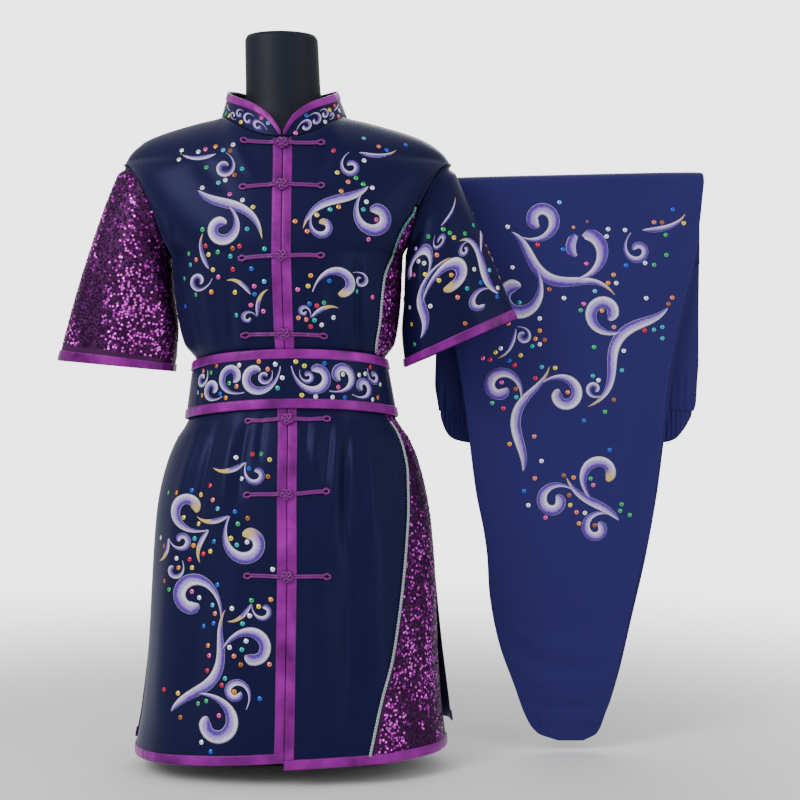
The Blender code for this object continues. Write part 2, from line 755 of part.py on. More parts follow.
def tube_cloth(name, rings, material, wall, offset, outward):
    """A tube of cloth through closed rings, open at both ends."""
    count = len(rings[0])
    points = [point for ring in rings for point in ring]
    faces = []
    for r in range(len(rings) - 1):
        for c in range(count):
            a, b = r * count + c, r * count + (c + 1) % count
            quad = (a, a + count, b + count, b)
            faces.append(quad if outward else quad[::-1])
    made = make_object(name, points, faces, material)
    solidify = made.modifiers.new("wall", "SOLIDIFY")
    solidify.thickness = wall * MM
    solidify.offset = offset
    return made


def sleeve(name, tape_name, table, material):
    phases = [2 * math.pi * k / SLEEVE_SIDES for k in range(SLEEVE_SIDES)]
    outward = table[0][1] > 0
    rings = [[sleeve_ring(table, along, phase) for phase in phases]
             for along in (0.0, 0.05, 0.11, 0.18, 0.35, 0.55, 0.78, 1.0)]
    tube_cloth(name, rings, material, CLOTH, -1.0, outward)
    last, before = np.array(rings[-1]), np.array(rings[-2])
    length = np.linalg.norm(before - last, axis=1, keepdims=True)
    start = last + (before - last) / length * TAPE_WIDTH
    around = np.roll(last, -1, axis=0) - np.roll(last, 1, axis=0)
    normals = np.cross(before - last, around) * (-1 if outward else 1)
    out = normals / np.linalg.norm(normals, axis=1, keepdims=True) * 0.5
    tube_cloth(tape_name, [list(start + out), list(last + out)], PURPLE, TAPE, 1.0, outward)


def frogs(grids):
    points, faces = [], []
    for name in ("front_right", "front_left"):
        for r, row in enumerate(grids[name]):
            for c, point in enumerate(row):
                if r and c:
                    a = len(points)
                    faces.append((a - len(row) - 1, a - len(row), a, a - 1))
                points.append(tuple(point))
    skin = BVHTree.FromPolygons(points, faces)

    def on_front(x, height, lift):
        hit, normal, _, _ = skin.ray_cast(Vector((x, -400.0, height)), Vector((0.0, 1.0, 0.0)))
        facing = normal if normal.y < 0 else -normal
        return np.array(hit + facing * lift)

    for number, row in enumerate(FROGS, 1):
        frog = dict(zip(FROG_COLUMNS, row))
        height = frog["height"]
        centre = centre_x(height)
        middle = on_front(centre + 2.0, height, STRAP_LIFT + 0.5)
        middle[0] = centre
        knot = bmesh.new()
        bmesh.ops.create_uvsphere(knot, u_segments=10, v_segments=6, radius=0.5)
        size = np.array([KNOT_WIDTH, KNOT_DEPTH, 0.92 * KNOT_WIDTH])
        for vertex in knot.verts:
            vertex.co = Vector(np.array(vertex.co) * size * MM)
        mesh = bpy.data.meshes.new(f"frog_{number}_knot")
        knot.to_mesh(mesh)
        knot.free()
        mesh.materials.append(CORDING)
        mesh.shade_smooth()
        made = bpy.data.objects.new(f"frog_{number}_knot", mesh)
        uniform.objects.link(made)
        made.location = Vector((middle + np.array([0.0, -0.5 * KNOT_DEPTH, 0.0])) * MM)
        for side, label in ((-1, "right"), (1, "left")):
            rise = frog[f"{label}_rise"]
            rows = []
            for v in (-0.5, 0.5):
                row = []
                for t in (0.0, 0.08, 0.25, 0.45, 0.65, 0.85, 1.0):
                    reach = 0.5 * KNOT_WIDTH + 0.5 + STRAP_LENGTH * t
                    swell = 1.0 + 0.7 * ease((t - 0.8) / 0.2)
                    where = height + rise * t + v * STRAP_WIDTH * swell
                    row.append(on_front(centre + side * reach, where, STRAP_LIFT - 1.2 * ease((t - 0.2) / 0.6)))
                rows.append(row if side > 0 else row[::-1])
            cloth(f"frog_{number}_strap_{label}", rows, CORDING, STRAP_WALL)


def dress_form():
    widths = table_curve(FORM, FORM_COLUMNS, "half_width")
    fronts = table_curve(FORM, FORM_COLUMNS, "front")
    backs = table_curve(FORM, FORM_COLUMNS, "back")
    rings = []
    for height in column(FORM, FORM_COLUMNS, "height"):
        ring = []
        for k in range(28):
            angle = 2 * math.pi * k / 28
            share = math.sin(angle)
            depth = fronts(height) if math.cos(angle) > 0 else backs(height)
            reach = oval(share, FABRIC_SQUARENESS) if height < 880 else abs(math.cos(angle))
            side = -1 if math.cos(angle) > 0 else 1
            ring.append(np.array([centre_x(height) + widths(height) * share, side * depth * reach, height]))
        rings.append(ring)
    lofted("dress_form", rings, FORM_BLACK)


def disc(name, diameter, bottom, top, x, y, material):
    made_mesh = bmesh.new()
    bmesh.ops.create_cone(made_mesh, cap_ends=True, segments=32, radius1=0.5 * diameter * MM,
                          radius2=0.5 * diameter * MM, depth=(top - bottom) * MM)
    mesh = bpy.data.meshes.new(name)
    made_mesh.to_mesh(mesh)
    made_mesh.free()
    mesh.materials.append(material)
    made = bpy.data.objects.new(name, mesh)
    uniform.objects.link(made)
    made.location = (x * MM, y * MM, 0.5 * (bottom + top) * MM)
    return made


def fold_top(x):
    """The fold hangs a little lower at its left end."""
    return -FOLD_DROP * (FOLD_HIGH_X - x) / (FOLD_HIGH_X - FOLD_LOW_X)


def stand():
    plate_mesh = bmesh.new()
    bmesh.ops.create_cube(plate_mesh, size=1.0)
    for vertex in plate_mesh.verts:
        vertex.co.x *= PLATE_WIDTH * MM
        vertex.co.y *= PLATE_DEPTH * MM
        vertex.co.z *= PLATE_THICKNESS * MM
    uprights = [edge for edge in plate_mesh.edges
                if abs(edge.verts[0].co.z - edge.verts[1].co.z) > 0.5 * PLATE_THICKNESS * MM]
    bmesh.ops.bevel(plate_mesh, geom=uprights, offset=PLATE_CORNER * MM, segments=6, profile=0.5,
                     affect="EDGES")
    mesh = bpy.data.meshes.new("stand_base")
    plate_mesh.to_mesh(mesh)
    plate_mesh.free()
    mesh.materials.append(STAND_STEEL)
    base = bpy.data.objects.new("stand_base", mesh)
    uniform.objects.link(base)
    base.location = (0.0, PLATE_CENTRE_Y * MM, 0.5 * PLATE_THICKNESS * MM)

    flange_top = PLATE_THICKNESS + SEAM_GAP + FLANGE_THICKNESS
    disc("stand_flange", FLANGE_DIAMETER, PLATE_THICKNESS + SEAM_GAP, flange_top, 0.0, 0.0, STAND_STEEL)
    disc("stand_pole", POLE_DIAMETER, flange_top + SEAM_GAP, FORM_BOTTOM - SEAM_GAP, 0.0, 0.0, STAND_STEEL)

    turn = ROD_HEIGHT - ARM_BEND
    elbow = ROD_HEIGHT + fold_top(FOLD_LOW_X)
    route = [(POST_X, POST_Y, PLATE_THICKNESS + SEAM_GAP), (POST_X, POST_Y, turn - 300.0),
             (POST_X, POST_Y, turn)]
    for k in range(1, 7):
        angle = 0.5 * math.pi * k / 6
        out = ARM_BEND * (1 - math.cos(angle))
        route.append((POST_X + 0.75 * out, POST_Y - 0.66 * out, turn + (elbow - turn) * math.sin(angle)))
    route.append((186.0, 98.0, elbow))
    route.append((203.0, 85.0, elbow))
    for x in (222.0, 585.0):
        route.append((x, ROD_Y, ROD_HEIGHT + fold_top(x)))
    curve = bpy.data.curves.new("trouser_arm", "CURVE")
    curve.dimensions = "3D"
    curve.bevel_depth = 0.5 * ARM_DIAMETER * MM
    curve.bevel_resolution = 4
    curve.use_fill_caps = True
    spline = curve.splines.new("POLY")
    spline.points.add(len(route) - 1)
    for point, place in zip(spline.points, route):
        point.co = (place[0] * MM, place[1] * MM, place[2] * MM, 1.0)
    curve.materials.append(STAND_STEEL)
    arm = bpy.data.objects.new("trouser_arm", curve)
    uniform.objects.link(arm)


def hung_ring(left, right, y, z, tilt, thickness, count=18):
    """A flat oval section of folded cloth; tilt turns it over the rod."""
    ring = []
    for k in range(count):
        phase = 2 * math.pi * k / count
        across, through = math.cos(phase), math.sin(phase)
        x = 0.5 * (left + right) + 0.5 * (right - left) * math.copysign(abs(across) ** 0.45, across)
        off = 0.5 * thickness * math.copysign(abs(through) ** 0.6, through)
        ring.append(np.array([x, y + off * math.cos(tilt), z - off * math.sin(tilt)]))
    return ring


def hung_leg(name, table, radius, end_height):
    """A flattened leg: up the front, over the rod and down behind it."""
    left = table_curve(table, LEG_COLUMNS, "left_x")
    right = table_curve(table, LEG_COLUMNS, "right_x")
    rings = []
    for height in column(table, LEG_COLUMNS, "height"):
        if height < ROD_HEIGHT - 20:
            thick = LEG_THICKNESS * (0.7 if height < 40 else 1.0)
            rings.append(hung_ring(left(height), right(height), ROD_Y - radius, height, 0.0, thick))
    low, high = left(830.0), right(830.0)
    for k in range(7):
        angle = math.pi * k / 6
        y = ROD_Y - radius * math.cos(angle)
        z = ROD_HEIGHT + radius * math.sin(angle)
        rings.append(hung_ring(low, high, y, z, angle, LEG_THICKNESS))
    for height in (760.0, end_height):
        rings.append(hung_ring(low, high, ROD_Y + radius, height, math.pi, LEG_THICKNESS))
    for ring in rings:
        for point in ring:
            point[2] += fold_top(point[0]) * ease((point[2] - 700.0) / 80.0)
    lofted(name, rings, NAVY)


def trousers():
    inner = 0.5 * ARM_DIAMETER + 0.7 + 0.5 * LEG_THICKNESS
    outer = inner + LEG_THICKNESS + 0.6
    hung_leg("trouser_leg_front", FRONT_LEG, outer, 704.0)
    hung_leg("trouser_leg_back", BACK_LEG, inner, 704.0)
    seat_y = ROD_Y + outer - 1.0
    rings = []
    for height, left, right in SEAT[1:][::-1]:
        rise = (height - SEAT[0][0]) / (SEAT[-1][0] - SEAT[0][0])
        thick = SEAT_THICKNESS + SEAT_BULGE * math.sin(math.pi * rise)
        rings.append(hung_ring(left, right, seat_y, height, 0.0, thick))
    rings.append(hung_ring(SEAT[0][1] + 4.0, SEAT[0][2] - 4.0, seat_y, SEAT[0][0], 0.0, BAND_THICKNESS))
    lofted("trouser_seat", rings[::-1], NAVY)
    rings = []
    count = 4 * WAISTBAND_GATHERS
    for row, (height, left, right) in enumerate(WAISTBAND):
        thick = BAND_EDGE_THICKNESS if row in (0, len(WAISTBAND) - 1) else BAND_THICKNESS
        ring = hung_ring(left, right, seat_y, height, 0.0, thick, count)
        for k, point in enumerate(ring):
            point[1] += GATHER_DEPTH * math.cos(0.5 * math.pi * k) * (1 if point[1] > seat_y else -1)
        rings.append(ring)
    lofted("trouser_waistband", rings, NAVY)


panels = jacket_grids()
jacket_body(panels)
placket_tapes(panels)
hem_tapes(panels)
side_braids(panels)
belt()
collar()
sleeve("sleeve_right", "cuff_tape_right", RIGHT_SLEEVE, SEQUIN)
sleeve("sleeve_left", "cuff_tape_left", LEFT_SLEEVE, NAVY)
frogs(panels)
dress_form()
stand()
trousers()
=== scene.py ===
# %% [markdown]
# # A wushu uniform on a dress form
# The real thing is sewn from thin navy satin: a short-sleeved jacket with a stand collar, bound with
# purple satin, held by seven corded frogs and a bound belt, with one sequinned sleeve and one
# sequinned side panel, all embroidered and dotted with small round sequins. The trousers hang beside
# it, folded once over a rod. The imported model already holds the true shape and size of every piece.
# This lesson gives each of them its cloth, thread, gloss and folds, in the same metres and place.

# %% Load the frame
import math

import bpy
import numpy as np
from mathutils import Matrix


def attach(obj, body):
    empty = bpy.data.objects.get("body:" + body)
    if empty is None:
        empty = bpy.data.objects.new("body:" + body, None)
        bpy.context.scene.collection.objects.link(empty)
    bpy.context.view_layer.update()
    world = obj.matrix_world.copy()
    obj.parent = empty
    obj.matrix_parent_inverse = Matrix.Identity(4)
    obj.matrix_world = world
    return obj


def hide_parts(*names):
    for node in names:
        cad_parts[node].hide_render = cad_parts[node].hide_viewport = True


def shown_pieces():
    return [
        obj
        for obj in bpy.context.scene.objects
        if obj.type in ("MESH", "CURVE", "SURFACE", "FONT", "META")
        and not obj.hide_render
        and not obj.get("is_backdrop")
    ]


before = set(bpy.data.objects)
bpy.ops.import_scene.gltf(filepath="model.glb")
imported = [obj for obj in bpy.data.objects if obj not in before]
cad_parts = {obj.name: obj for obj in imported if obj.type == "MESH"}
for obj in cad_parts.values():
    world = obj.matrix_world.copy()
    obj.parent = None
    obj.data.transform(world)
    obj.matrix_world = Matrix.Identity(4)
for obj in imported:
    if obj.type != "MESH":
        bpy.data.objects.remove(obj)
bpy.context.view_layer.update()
print("nodes in the frame:", len(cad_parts))

# %% [markdown]
# ## Sizes and short tables
# The cloth follows a few smooth curves: how wide and deep the body is at each height, where the
# armhole and the shoulder run, and how the sleeves and the trousers' legs taper. The same short
# tables shaped the solids, so a fine mesh made from them lies exactly where its solid lies. All of
# them are in millimetres, as a pattern cutter would write them, and become metres when a mesh is made.

# %% Sizes of the cloth and the trims
MM = 0.001
SEAM_GAP = 0.3
CLOTH = 1.2
TAPE = 1.4
TAPE_WIDTH = 13.0
TAPE_LIFT = CLOTH + 0.5
ARMPIT_HEIGHT = 705.0
SHOULDER_ROUND = 70.0
SHOULDER_END_HEIGHT = 834.0
NECK_SIDE = 86.0
NECK_FRONT_HEIGHT, NECK_SIDE_HEIGHT, NECK_BACK_HEIGHT = 859.0, 899.0, 907.0
ARMHOLE_DEPTH = 54.0
SLIT_TOP = 305.0
FABRIC_SQUARENESS = 2.3
SLEEVE_ROUNDNESS, CUFF_ROUNDNESS = 0.85, 0.6
SLEEVE_HEAD, SEWN_OUT = 0.055, 2.4

# %% Tables of the jacket's shape
BODY = (
    (0, 2, 215, 152, 152),
    (27, 2, 214, 151, 151),
    (75, 3, 207, 149, 149),
    (155, 4, 200, 145, 146),
    (268, 5, 195, 137, 140),
    (337, 4.5, 190, 131, 135),
    (373, 4, 185, 127, 131),
    (415, 4, 175, 121, 124),
    (452, 4, 160, 112, 114),
    (467, 3.5, 149.5, 106, 107),
    (487, 2.5, 139.5, 100.5, 101),
    (520, 1.5, 134.5, 97.5, 97.5),
    (560, 0, 129.5, 94.5, 94),
    (583, -1, 145, 101, 98),
    (611, -2, 151.5, 109, 100),
    (652, -3, 156.5, 114, 103),
    (705, -4, 160, 118, 106),
    (768, -4, 176, 109, 104),
    (820, -4, 206, 94, 95),
    (868, -6, 226, 80, 82),
    (905, -9, 230, 70, 70),
    (1013, -13, 230, 66, 66),
)
ARMHOLE = (
    (705, 162),
    (735, 170),
    (770, 182),
    (800, 197),
    (822, 213),
    (834, 227),
    (860, 262),
)
SHOULDER = (
    (0, 1040),
    (60, 930),
    (86, 899),
    (110, 893),
    (140, 885),
    (180, 872),
    (202, 861),
    (217, 849),
    (227, 834),
    (262, 770),
)
BRAID = (
    (0, 104),
    (49, 113),
    (114, 125),
    (162, 137),
    (215, 145),
    (267, 151),
    (325, 156),
    (362, 158),
    (406, 157),
    (439, 151),
    (460, 143),
    (489, 126),
    (520, 119),
    (568, 119),
    (612, 126),
    (668, 133),
    (705, 146),
    (736, 159),
    (768, 180),
)
FOLDS = (
    (-1, -0.80, 0.10, 3.5, 0, 470),
    (-1, -0.45, 0.09, 3, 60, 480),
    (-1, 0.44, 0.07, -4, 90, 480),
    (-1, 0.62, 0.08, 4, 0, 470),
    (-1, 0.93, 0.06, 3, 0, 420),
    (-1, 0.38, 0.06, -3.5, 560, 690),
    (-1, 0.55, 0.06, 3.5, 560, 680),
    (-1, -0.40, 0.07, 3, 560, 670),
    (-1, -0.60, 0.06, -2.5, 560, 650),
    (1, -0.85, 0.07, 4, 0, 470),
    (1, -0.62, 0.08, -5, 0, 478),
    (1, -0.35, 0.08, 5, 0, 478),
    (1, -0.08, 0.08, -4.5, 0, 478),
    (1, 0.22, 0.09, 5.5, 0, 478),
    (1, 0.50, 0.08, -4, 0, 478),
    (1, 0.75, 0.07, 4.5, 0, 470),
    (1, -0.45, 0.08, 4, 560, 720),
    (1, -0.15, 0.07, -3.5, 560, 690),
    (1, 0.20, 0.08, 4, 560, 730),
    (1, 0.52, 0.07, -3.5, 560, 680),
)

# %% [markdown]
# ## Smooth curves through the tables
# A cloth's outline has no corners where a table has its rows, and it must not swing past them
# either. A cubic that takes the harmonic mean of the slopes on either side of a row does both. It is
# written for whole arrays, so that a hundred thousand points take a moment.

# %% Curves through a table
def table_curve(rows, place=1):
    """A smooth curve through one column of a short table, for arrays, that never overshoots."""
    at = np.array([row[0] for row in rows], dtype=float)
    values = np.array([row[place] for row in rows], dtype=float)
    slopes = np.diff(values) / np.diff(at)
    tangents = np.concatenate([slopes[:1], np.zeros(len(at) - 2), slopes[-1:]])
    for k in range(1, len(at) - 1):
        if slopes[k - 1] * slopes[k] > 0:
            tangents[k] = 2 * slopes[k - 1] * slopes[k] / (slopes[k - 1] + slopes[k])

    def curve(where):
        where = np.clip(np.asarray(where, dtype=float), at[0], at[-1])
        k = np.clip(np.searchsorted(at, where, side="right") - 1, 0, len(at) - 2)
        step = at[k + 1] - at[k]
        t = (where - at[k]) / step
        rise = values[k] * (2 * t**3 - 3 * t**2 + 1) + values[k + 1] * (3 * t**2 - 2 * t**3)
        return rise + step * (tangents[k] * (t**3 - 2 * t**2 + t) + tangents[k + 1] * (t**3 - t**2))

    return curve


def ease(t):
    t = np.clip(t, 0.0, 1.0)
    return t * t * (3 - 2 * t)


def oval(share, squareness):
    return np.maximum(0.0, 1 - np.abs(share) ** squareness) ** (1 / squareness)


centre_x, half_width = table_curve(BODY, 1), table_curve(BODY, 2)
front_depth, back_depth = table_curve(BODY, 3), table_curve(BODY, 4)
armhole_x, shoulder_height, braid_x = table_curve(ARMHOLE), table_curve(SHOULDER), table_curve(BRAID)
print("half width at the waist:", round(float(half_width(560)), 1), "mm")

# %% [markdown]
# ## Creases laid one by one
# Thin satin breaks into soft troughs and ridges where it is pulled in by the belt, where it hangs
# from the bust and where an arm would lift it. Each one is a line on the body as seen from the front,
# with its own width, depth and bend, and fades at both ends. They are uneven on purpose: real folds
# never come in a regular row. The back gets similar ones, because a shopper turns the form round.

# %% Creases of the front and of the back
CREASE_COLUMNS = ("x0", "z0", "x1", "z1", "width", "depth", "bend")
FRONT_CREASES = (
    (97, 700, 98, 560, 5.5, -4.2, 2),
    (86, 672, 84, 570, 5, 2.6, -2),
    (72, 650, 70, 570, 6.5, -2.2, 2),
    (52, 690, 47, 575, 9, 1.8, -3),
    (30, 640, 27, 572, 5, -1.3, 1),
    (-36, 668, -38, 575, 6, -1.6, 2),
    (-58, 640, -56, 570, 5, 1.6, 0),
    (-78, 668, -72, 572, 6, -2.4, -3),
    (-104, 700, -93, 574, 8, 2.2, 5),
    (-122, 690, -108, 578, 6, -2.6, 5),
    (-150, 742, -124, 640, 7, -3, 9),
    (-158, 760, -141, 668, 5, 2.4, 6),
    (146, 764, 118, 660, 8, -2.6, -8),
    (-120, 842, -60, 770, 14, -1.6, 8),
    (128, 838, 66, 772, 15, -1.5, -8),
    (-70, 862, -38, 800, 8, 1.2, 5),
    (62, 858, 34, 796, 8, -1.2, -4),
    (84, 480, 82, 296, 6.5, -4.4, 3),
    (73, 484, 68, 350, 5, 2.6, 2),
    (60, 482, 52, 384, 4.5, -2.2, -1),
    (44, 484, 40, 410, 5, 1.4, 1),
    (104, 482, 116, 330, 7, 2.6, -4),
    (30, 482, 28, 436, 3.6, -1.4, 0),
    (122, 480, 146, 372, 6, -2.2, -4),
    (-28, 484, -33, 420, 4.4, -1.6, 1),
    (-48, 482, -60, 372, 5.5, -2.8, 3),
    (-66, 482, -84, 340, 6.5, 2.2, 3),
    (-88, 480, -118, 300, 7, -3.2, 5),
    (-112, 478, -150, 330, 6, 2, 5),
    (-58, 300, -66, 60, 15, 2.6, 4),
    (-104, 290, -122, 40, 17, -3, 5),
    (-152, 330, -172, 60, 12, 2.6, 6),
    (-182, 300, -196, 120, 8, -2.4, 3),
    (42, 320, 44, 70, 16, 2.6, -4),
    (86, 280, 82, 50, 12, -3, -3),
)
BACK_CREASES = (
    (-110, 700, -96, 570, 8, -3.6, 4),
    (-88, 660, -80, 572, 6, 2.4, 2),
    (-58, 720, -50, 572, 9, -3.2, -4),
    (-34, 650, -32, 570, 5, 1.8, 0),
    (-8, 700, -6, 574, 9, -2.6, 3),
    (22, 640, 24, 570, 6, 2, 1),
    (48, 712, 46, 572, 8, -3.4, -3),
    (74, 660, 68, 574, 6, 2.4, 2),
    (104, 704, 94, 572, 8, -3.4, 4),
    (-150, 760, -100, 690, 10, -2.8, 8),
    (150, 760, 96, 696, 10, -2.6, -8),
    (-90, 850, 10, 800, 16, -1.4, 10),
    (94, 846, 30, 772, 12, 1.4, -8),
    (-118, 480, -140, 330, 6.5, -3.6, 4),
    (-92, 482, -108, 300, 6, 2.8, 3),
    (-64, 482, -72, 250, 7.5, -3.8, 4),
    (-40, 482, -44, 340, 5, 2.4, -2),
    (-16, 482, -18, 300, 6.5, -3.4, 2),
    (10, 482, 12, 260, 6, 2.6, 2),
    (36, 482, 44, 320, 6.5, -3.6, -3),
    (62, 482, 76, 280, 6, 2.8, 2),
    (90, 482, 112, 320, 7, -3.6, -4),
    (120, 478, 146, 340, 6, 2.2, -3),
    (-70, 230, -80, 50, 16, -3, 5),
    (84, 240, 96, 60, 15, -3, -5),
    (4, 220, 2, 50, 18, 2.6, 4),
)


def crease_depth(rows, x, z):
    """How far the creases raise or sink the cloth at each point of a flat view."""
    total = np.zeros(np.broadcast(x, z).shape)
    for row in rows:
        crease = dict(zip(CREASE_COLUMNS, row))
        dx, dz = crease["x1"] - crease["x0"], crease["z1"] - crease["z0"]
        length = math.hypot(dx, dz)
        t = ((x - crease["x0"]) * dx + (z - crease["z0"]) * dz) / length**2
        inside = np.clip(t, 0.0, 1.0)
        off = ((x - crease["x0"]) * dz - (z - crease["z0"]) * dx) / length
        off = off - 4 * crease["bend"] * inside * (1 - inside)
        fade = ease(np.clip((t + 0.12) / 0.45, 0, 1)) * ease(np.clip((1.12 - t) / 0.45, 0, 1))
        total = total + crease["depth"] * fade * np.exp(-((off / crease["width"]) ** 2))
    return total


print("creases on the front and the back:", len(FRONT_CREASES), len(BACK_CREASES))

# %% [markdown]
# ## The jacket's surface
# Every panel lies on one surface round the body, split at the side seams. A point on it is named by
# its face (front or back), its share of the way from the centre line to the side seam, and its
# height. Slopes measured by stepping a little to each side give the outward direction, so that
# bindings, thread and sequins can be laid on the cloth at any distance from it.

# %% Surface of the jacket's body
def edge_x(height):
    """Distance from the centre line to the side seam, or to the armhole above it."""
    lift = ease((height - ARMPIT_HEIGHT) / 20)
    above = half_width(ARMPIT_HEIGHT) * (1 - lift) + armhole_x(height) * lift
    return np.where(height <= ARMPIT_HEIGHT, half_width(height), above)


def armhole_y(height):
    share = np.clip((height - ARMPIT_HEIGHT) / (SHOULDER_END_HEIGHT - ARMPIT_HEIGHT), 0.0, 1.0)
    return ARMHOLE_DEPTH * 2 * np.sqrt(share * (1 - share))


def fold_depth(face, share, height):
    total = np.zeros(np.broadcast(share, height).shape)
    for fold_face, centre, width, depth, bottom, top in FOLDS:
        if fold_face == face:
            span = 0.3 * (top - bottom)
            lower = 1.0 if bottom <= 0 else ease((height - bottom) / span)
            across = np.exp(-(((share - centre) / width) ** 2))
            total = total + depth * across * lower * ease((top - height) / span)
    return total


def flare(face, share, height):
    """The back skirt stands out beyond the front one at the side slits."""
    if face < 0:
        return np.zeros(np.broadcast(share, height).shape)
    reach = np.where(share > 0, 12.0, 4.0)
    return reach * np.abs(share) ** 3 * ease((SLIT_TOP - height) / (SLIT_TOP - 60))


def bare_torso(face, share, height):
    """Inner face of the cloth with its folds and creases."""
    edge = edge_x(height)
    depth = front_depth(height) if face < 0 else back_depth(height)
    gap = np.where(height > ARMPIT_HEIGHT, armhole_y(height), 0.0)
    ridge = shoulder_height(np.abs(share) * edge)
    over = np.clip((ridge - height) / SHOULDER_ROUND, 0.0, 1.0)
    over = np.sqrt(1 - (1 - over) ** 2)
    reach = (gap + (depth - gap) * oval(share, FABRIC_SQUARENESS)) * over
    opening = 0.5 * SEAM_GAP + (6.0 if face < 0 else 1.0) * ease((SLIT_TOP - height) / 150)
    reach = np.maximum(reach, opening)
    lean = oval(np.clip(share, -1, 1), 2.0)
    x = centre_x(height) + share * edge
    crease = fold_depth(face, share, height)
    fine = 1.5 * crease_depth(FRONT_CREASES if face < 0 else BACK_CREASES, x, height) * np.sqrt(lean)
    x = x + share * flare(face, share, height) + share * crease * (1 - lean)
    y = face * (reach + crease * lean + fine * np.minimum(1.0, reach / 30))
    return places(x, y, height)


def places(x, y, z):
    """Points from three arrays that fit each other."""
    return np.stack(np.broadcast_arrays(x, y, z), axis=-1)


def unit(vectors):
    return vectors / np.maximum(np.linalg.norm(vectors, axis=-1, keepdims=True), 1e-9)


def torso(face, share, height, lift=0.0):
    """A point of the jacket, lifted outwards from the inner face of its cloth."""
    share, height = np.broadcast_arrays(np.asarray(share, float), np.asarray(height, float))
    inner = np.clip(share, -0.9985, 0.9985)
    across = bare_torso(face, inner + 0.0015, height) - bare_torso(face, inner - 0.0015, height)
    along = bare_torso(face, share, height + 0.6) - bare_torso(face, share, height - 0.6)
    facing = unit(np.cross(across, along)) * (1 if face < 0 else -1)
    return bare_torso(face, share, height) + facing * np.asarray(lift)[..., None]


def neckline(face, distance):
    share = np.minimum(np.abs(distance) / NECK_SIDE, 1.0)
    if face < 0:
        return NECK_FRONT_HEIGHT + (NECK_SIDE_HEIGHT - NECK_FRONT_HEIGHT) * share**2.4
    return NECK_BACK_HEIGHT + (NECK_SIDE_HEIGHT - NECK_BACK_HEIGHT) * share**2


def top_height(face, share):
    """Where a column of the panel ends, on the neckline or on the shoulder seam."""
    low = np.full(np.shape(share), ARMPIT_HEIGHT)
    high = np.full(np.shape(share), 1000.0)
    for _ in range(30):
        height = 0.5 * (low + high)
        distance = np.abs(share) * edge_x(height)
        limit = np.where(distance < NECK_SIDE, neckline(face, distance), shoulder_height(distance))
        low, high = np.where(limit > height, height, low), np.where(limit > height, high, height)
    return low - np.where(np.abs(share) * edge_x(low) < NECK_SIDE, 0.5 * SEAM_GAP, 0.0)


def hem_height(face, share):
    if face < 0:
        return np.where(share < 0, 33.0 - 13.0 * np.abs(share), 23.0 + 6.0 * np.sqrt(np.abs(share)))
    return 30.0 + np.where(share > 0, 26.0, 4.0) * share**4


def seam_share(height):
    """Share of the front's width where the seam of the sequinned side panel lies."""
    return np.minimum(braid_x(height) / edge_x(height), 0.975)


HEM_ROWS = np.linspace(0.0, 1.0, 16)[:-1]
BODY_ROWS = np.linspace(80.0, ARMPIT_HEIGHT, 118)
CHEST_ROWS = np.linspace(0.0, 1.0, 42)[1:]


def panel_heights(face, shares):
    """Heights of a panel's fine rows in each of its columns, from the hem to the neck."""
    hem, top = hem_height(face, shares), top_height(face, shares)
    low = hem + (80.0 - hem) * HEM_ROWS[:, None]
    middle = np.broadcast_to(BODY_ROWS[:, None], (len(BODY_ROWS), len(shares)))
    high = ARMPIT_HEIGHT + (top - ARMPIT_HEIGHT) * CHEST_ROWS[:, None]
    return np.concatenate([low, middle, high])


print("depth of the chest:", round(float(-torso(-1, 0.3, 700.0)[1]), 1), "mm in front of the axis")

# %% [markdown]
# ## Meshes of cloth
# Cloth is not a solid block and not a single film either: its edges show a thickness. Each sheet is
# built as two faces a cloth's wall apart, closed round its edges. Along with it goes a UV map in
# real metres, measured along the rows and columns, so that weave and thread keep their scale.

# %% Builders for sheets, tubes and strips
def store(mesh, attributes):
    """Write values at the points, given as a kind and an array under each name."""
    for key, (kind, values) in (attributes or {}).items():
        layer = mesh.attributes.new(key, kind, "POINT")
        slot = {"FLOAT": "value", "FLOAT_COLOR": "color", "FLOAT_VECTOR": "vector"}[kind]
        layer.data.foreach_set(slot, np.asarray(values, float).ravel())


def add_mesh(name, points, faces, uvs=None, attributes=None, smooth=True, round_u=None):
    """round_u is the u of a full turn, where a tube's last column joins its first one."""
    mesh = bpy.data.meshes.new(name)
    mesh.from_pydata((np.asarray(points, float).reshape(-1, 3) * MM).tolist(), [], faces)
    if uvs is not None:
        layer = mesh.uv_layers.new(name="cloth")
        corners = np.zeros(len(mesh.loops), dtype=np.int32)
        mesh.loops.foreach_get("vertex_index", corners)
        flat = np.asarray(uvs, float).reshape(-1, 2)[corners]
        if round_u is not None:
            quads, full = flat[:, 0].reshape(-1, 4), round_u[corners].reshape(-1, 4)
            quads += np.where(quads.max(axis=1, keepdims=True) - quads > 0.5 * full, full, 0.0)
        layer.data.foreach_set("uv", flat.ravel())
    store(mesh, attributes)
    if smooth:
        mesh.shade_smooth()
    mesh.update()
    made = bpy.data.objects.new(name, mesh)
    bpy.context.scene.collection.objects.link(made)
    return made


def grid_faces(rows, wide, start=0, ring=False, flip=False):
    """Quads of a grid of points; a ring joins its last column to its first."""
    r, c = np.meshgrid(np.arange(rows - 1), np.arange(wide if ring else wide - 1), indexing="ij")
    a, b = start + r * wide + c, start + r * wide + (c + 1) % wide
    quads = np.stack([a, b, b + wide, a + wide], axis=-1).reshape(-1, 4)
    return quads[:, ::-1] if flip else quads


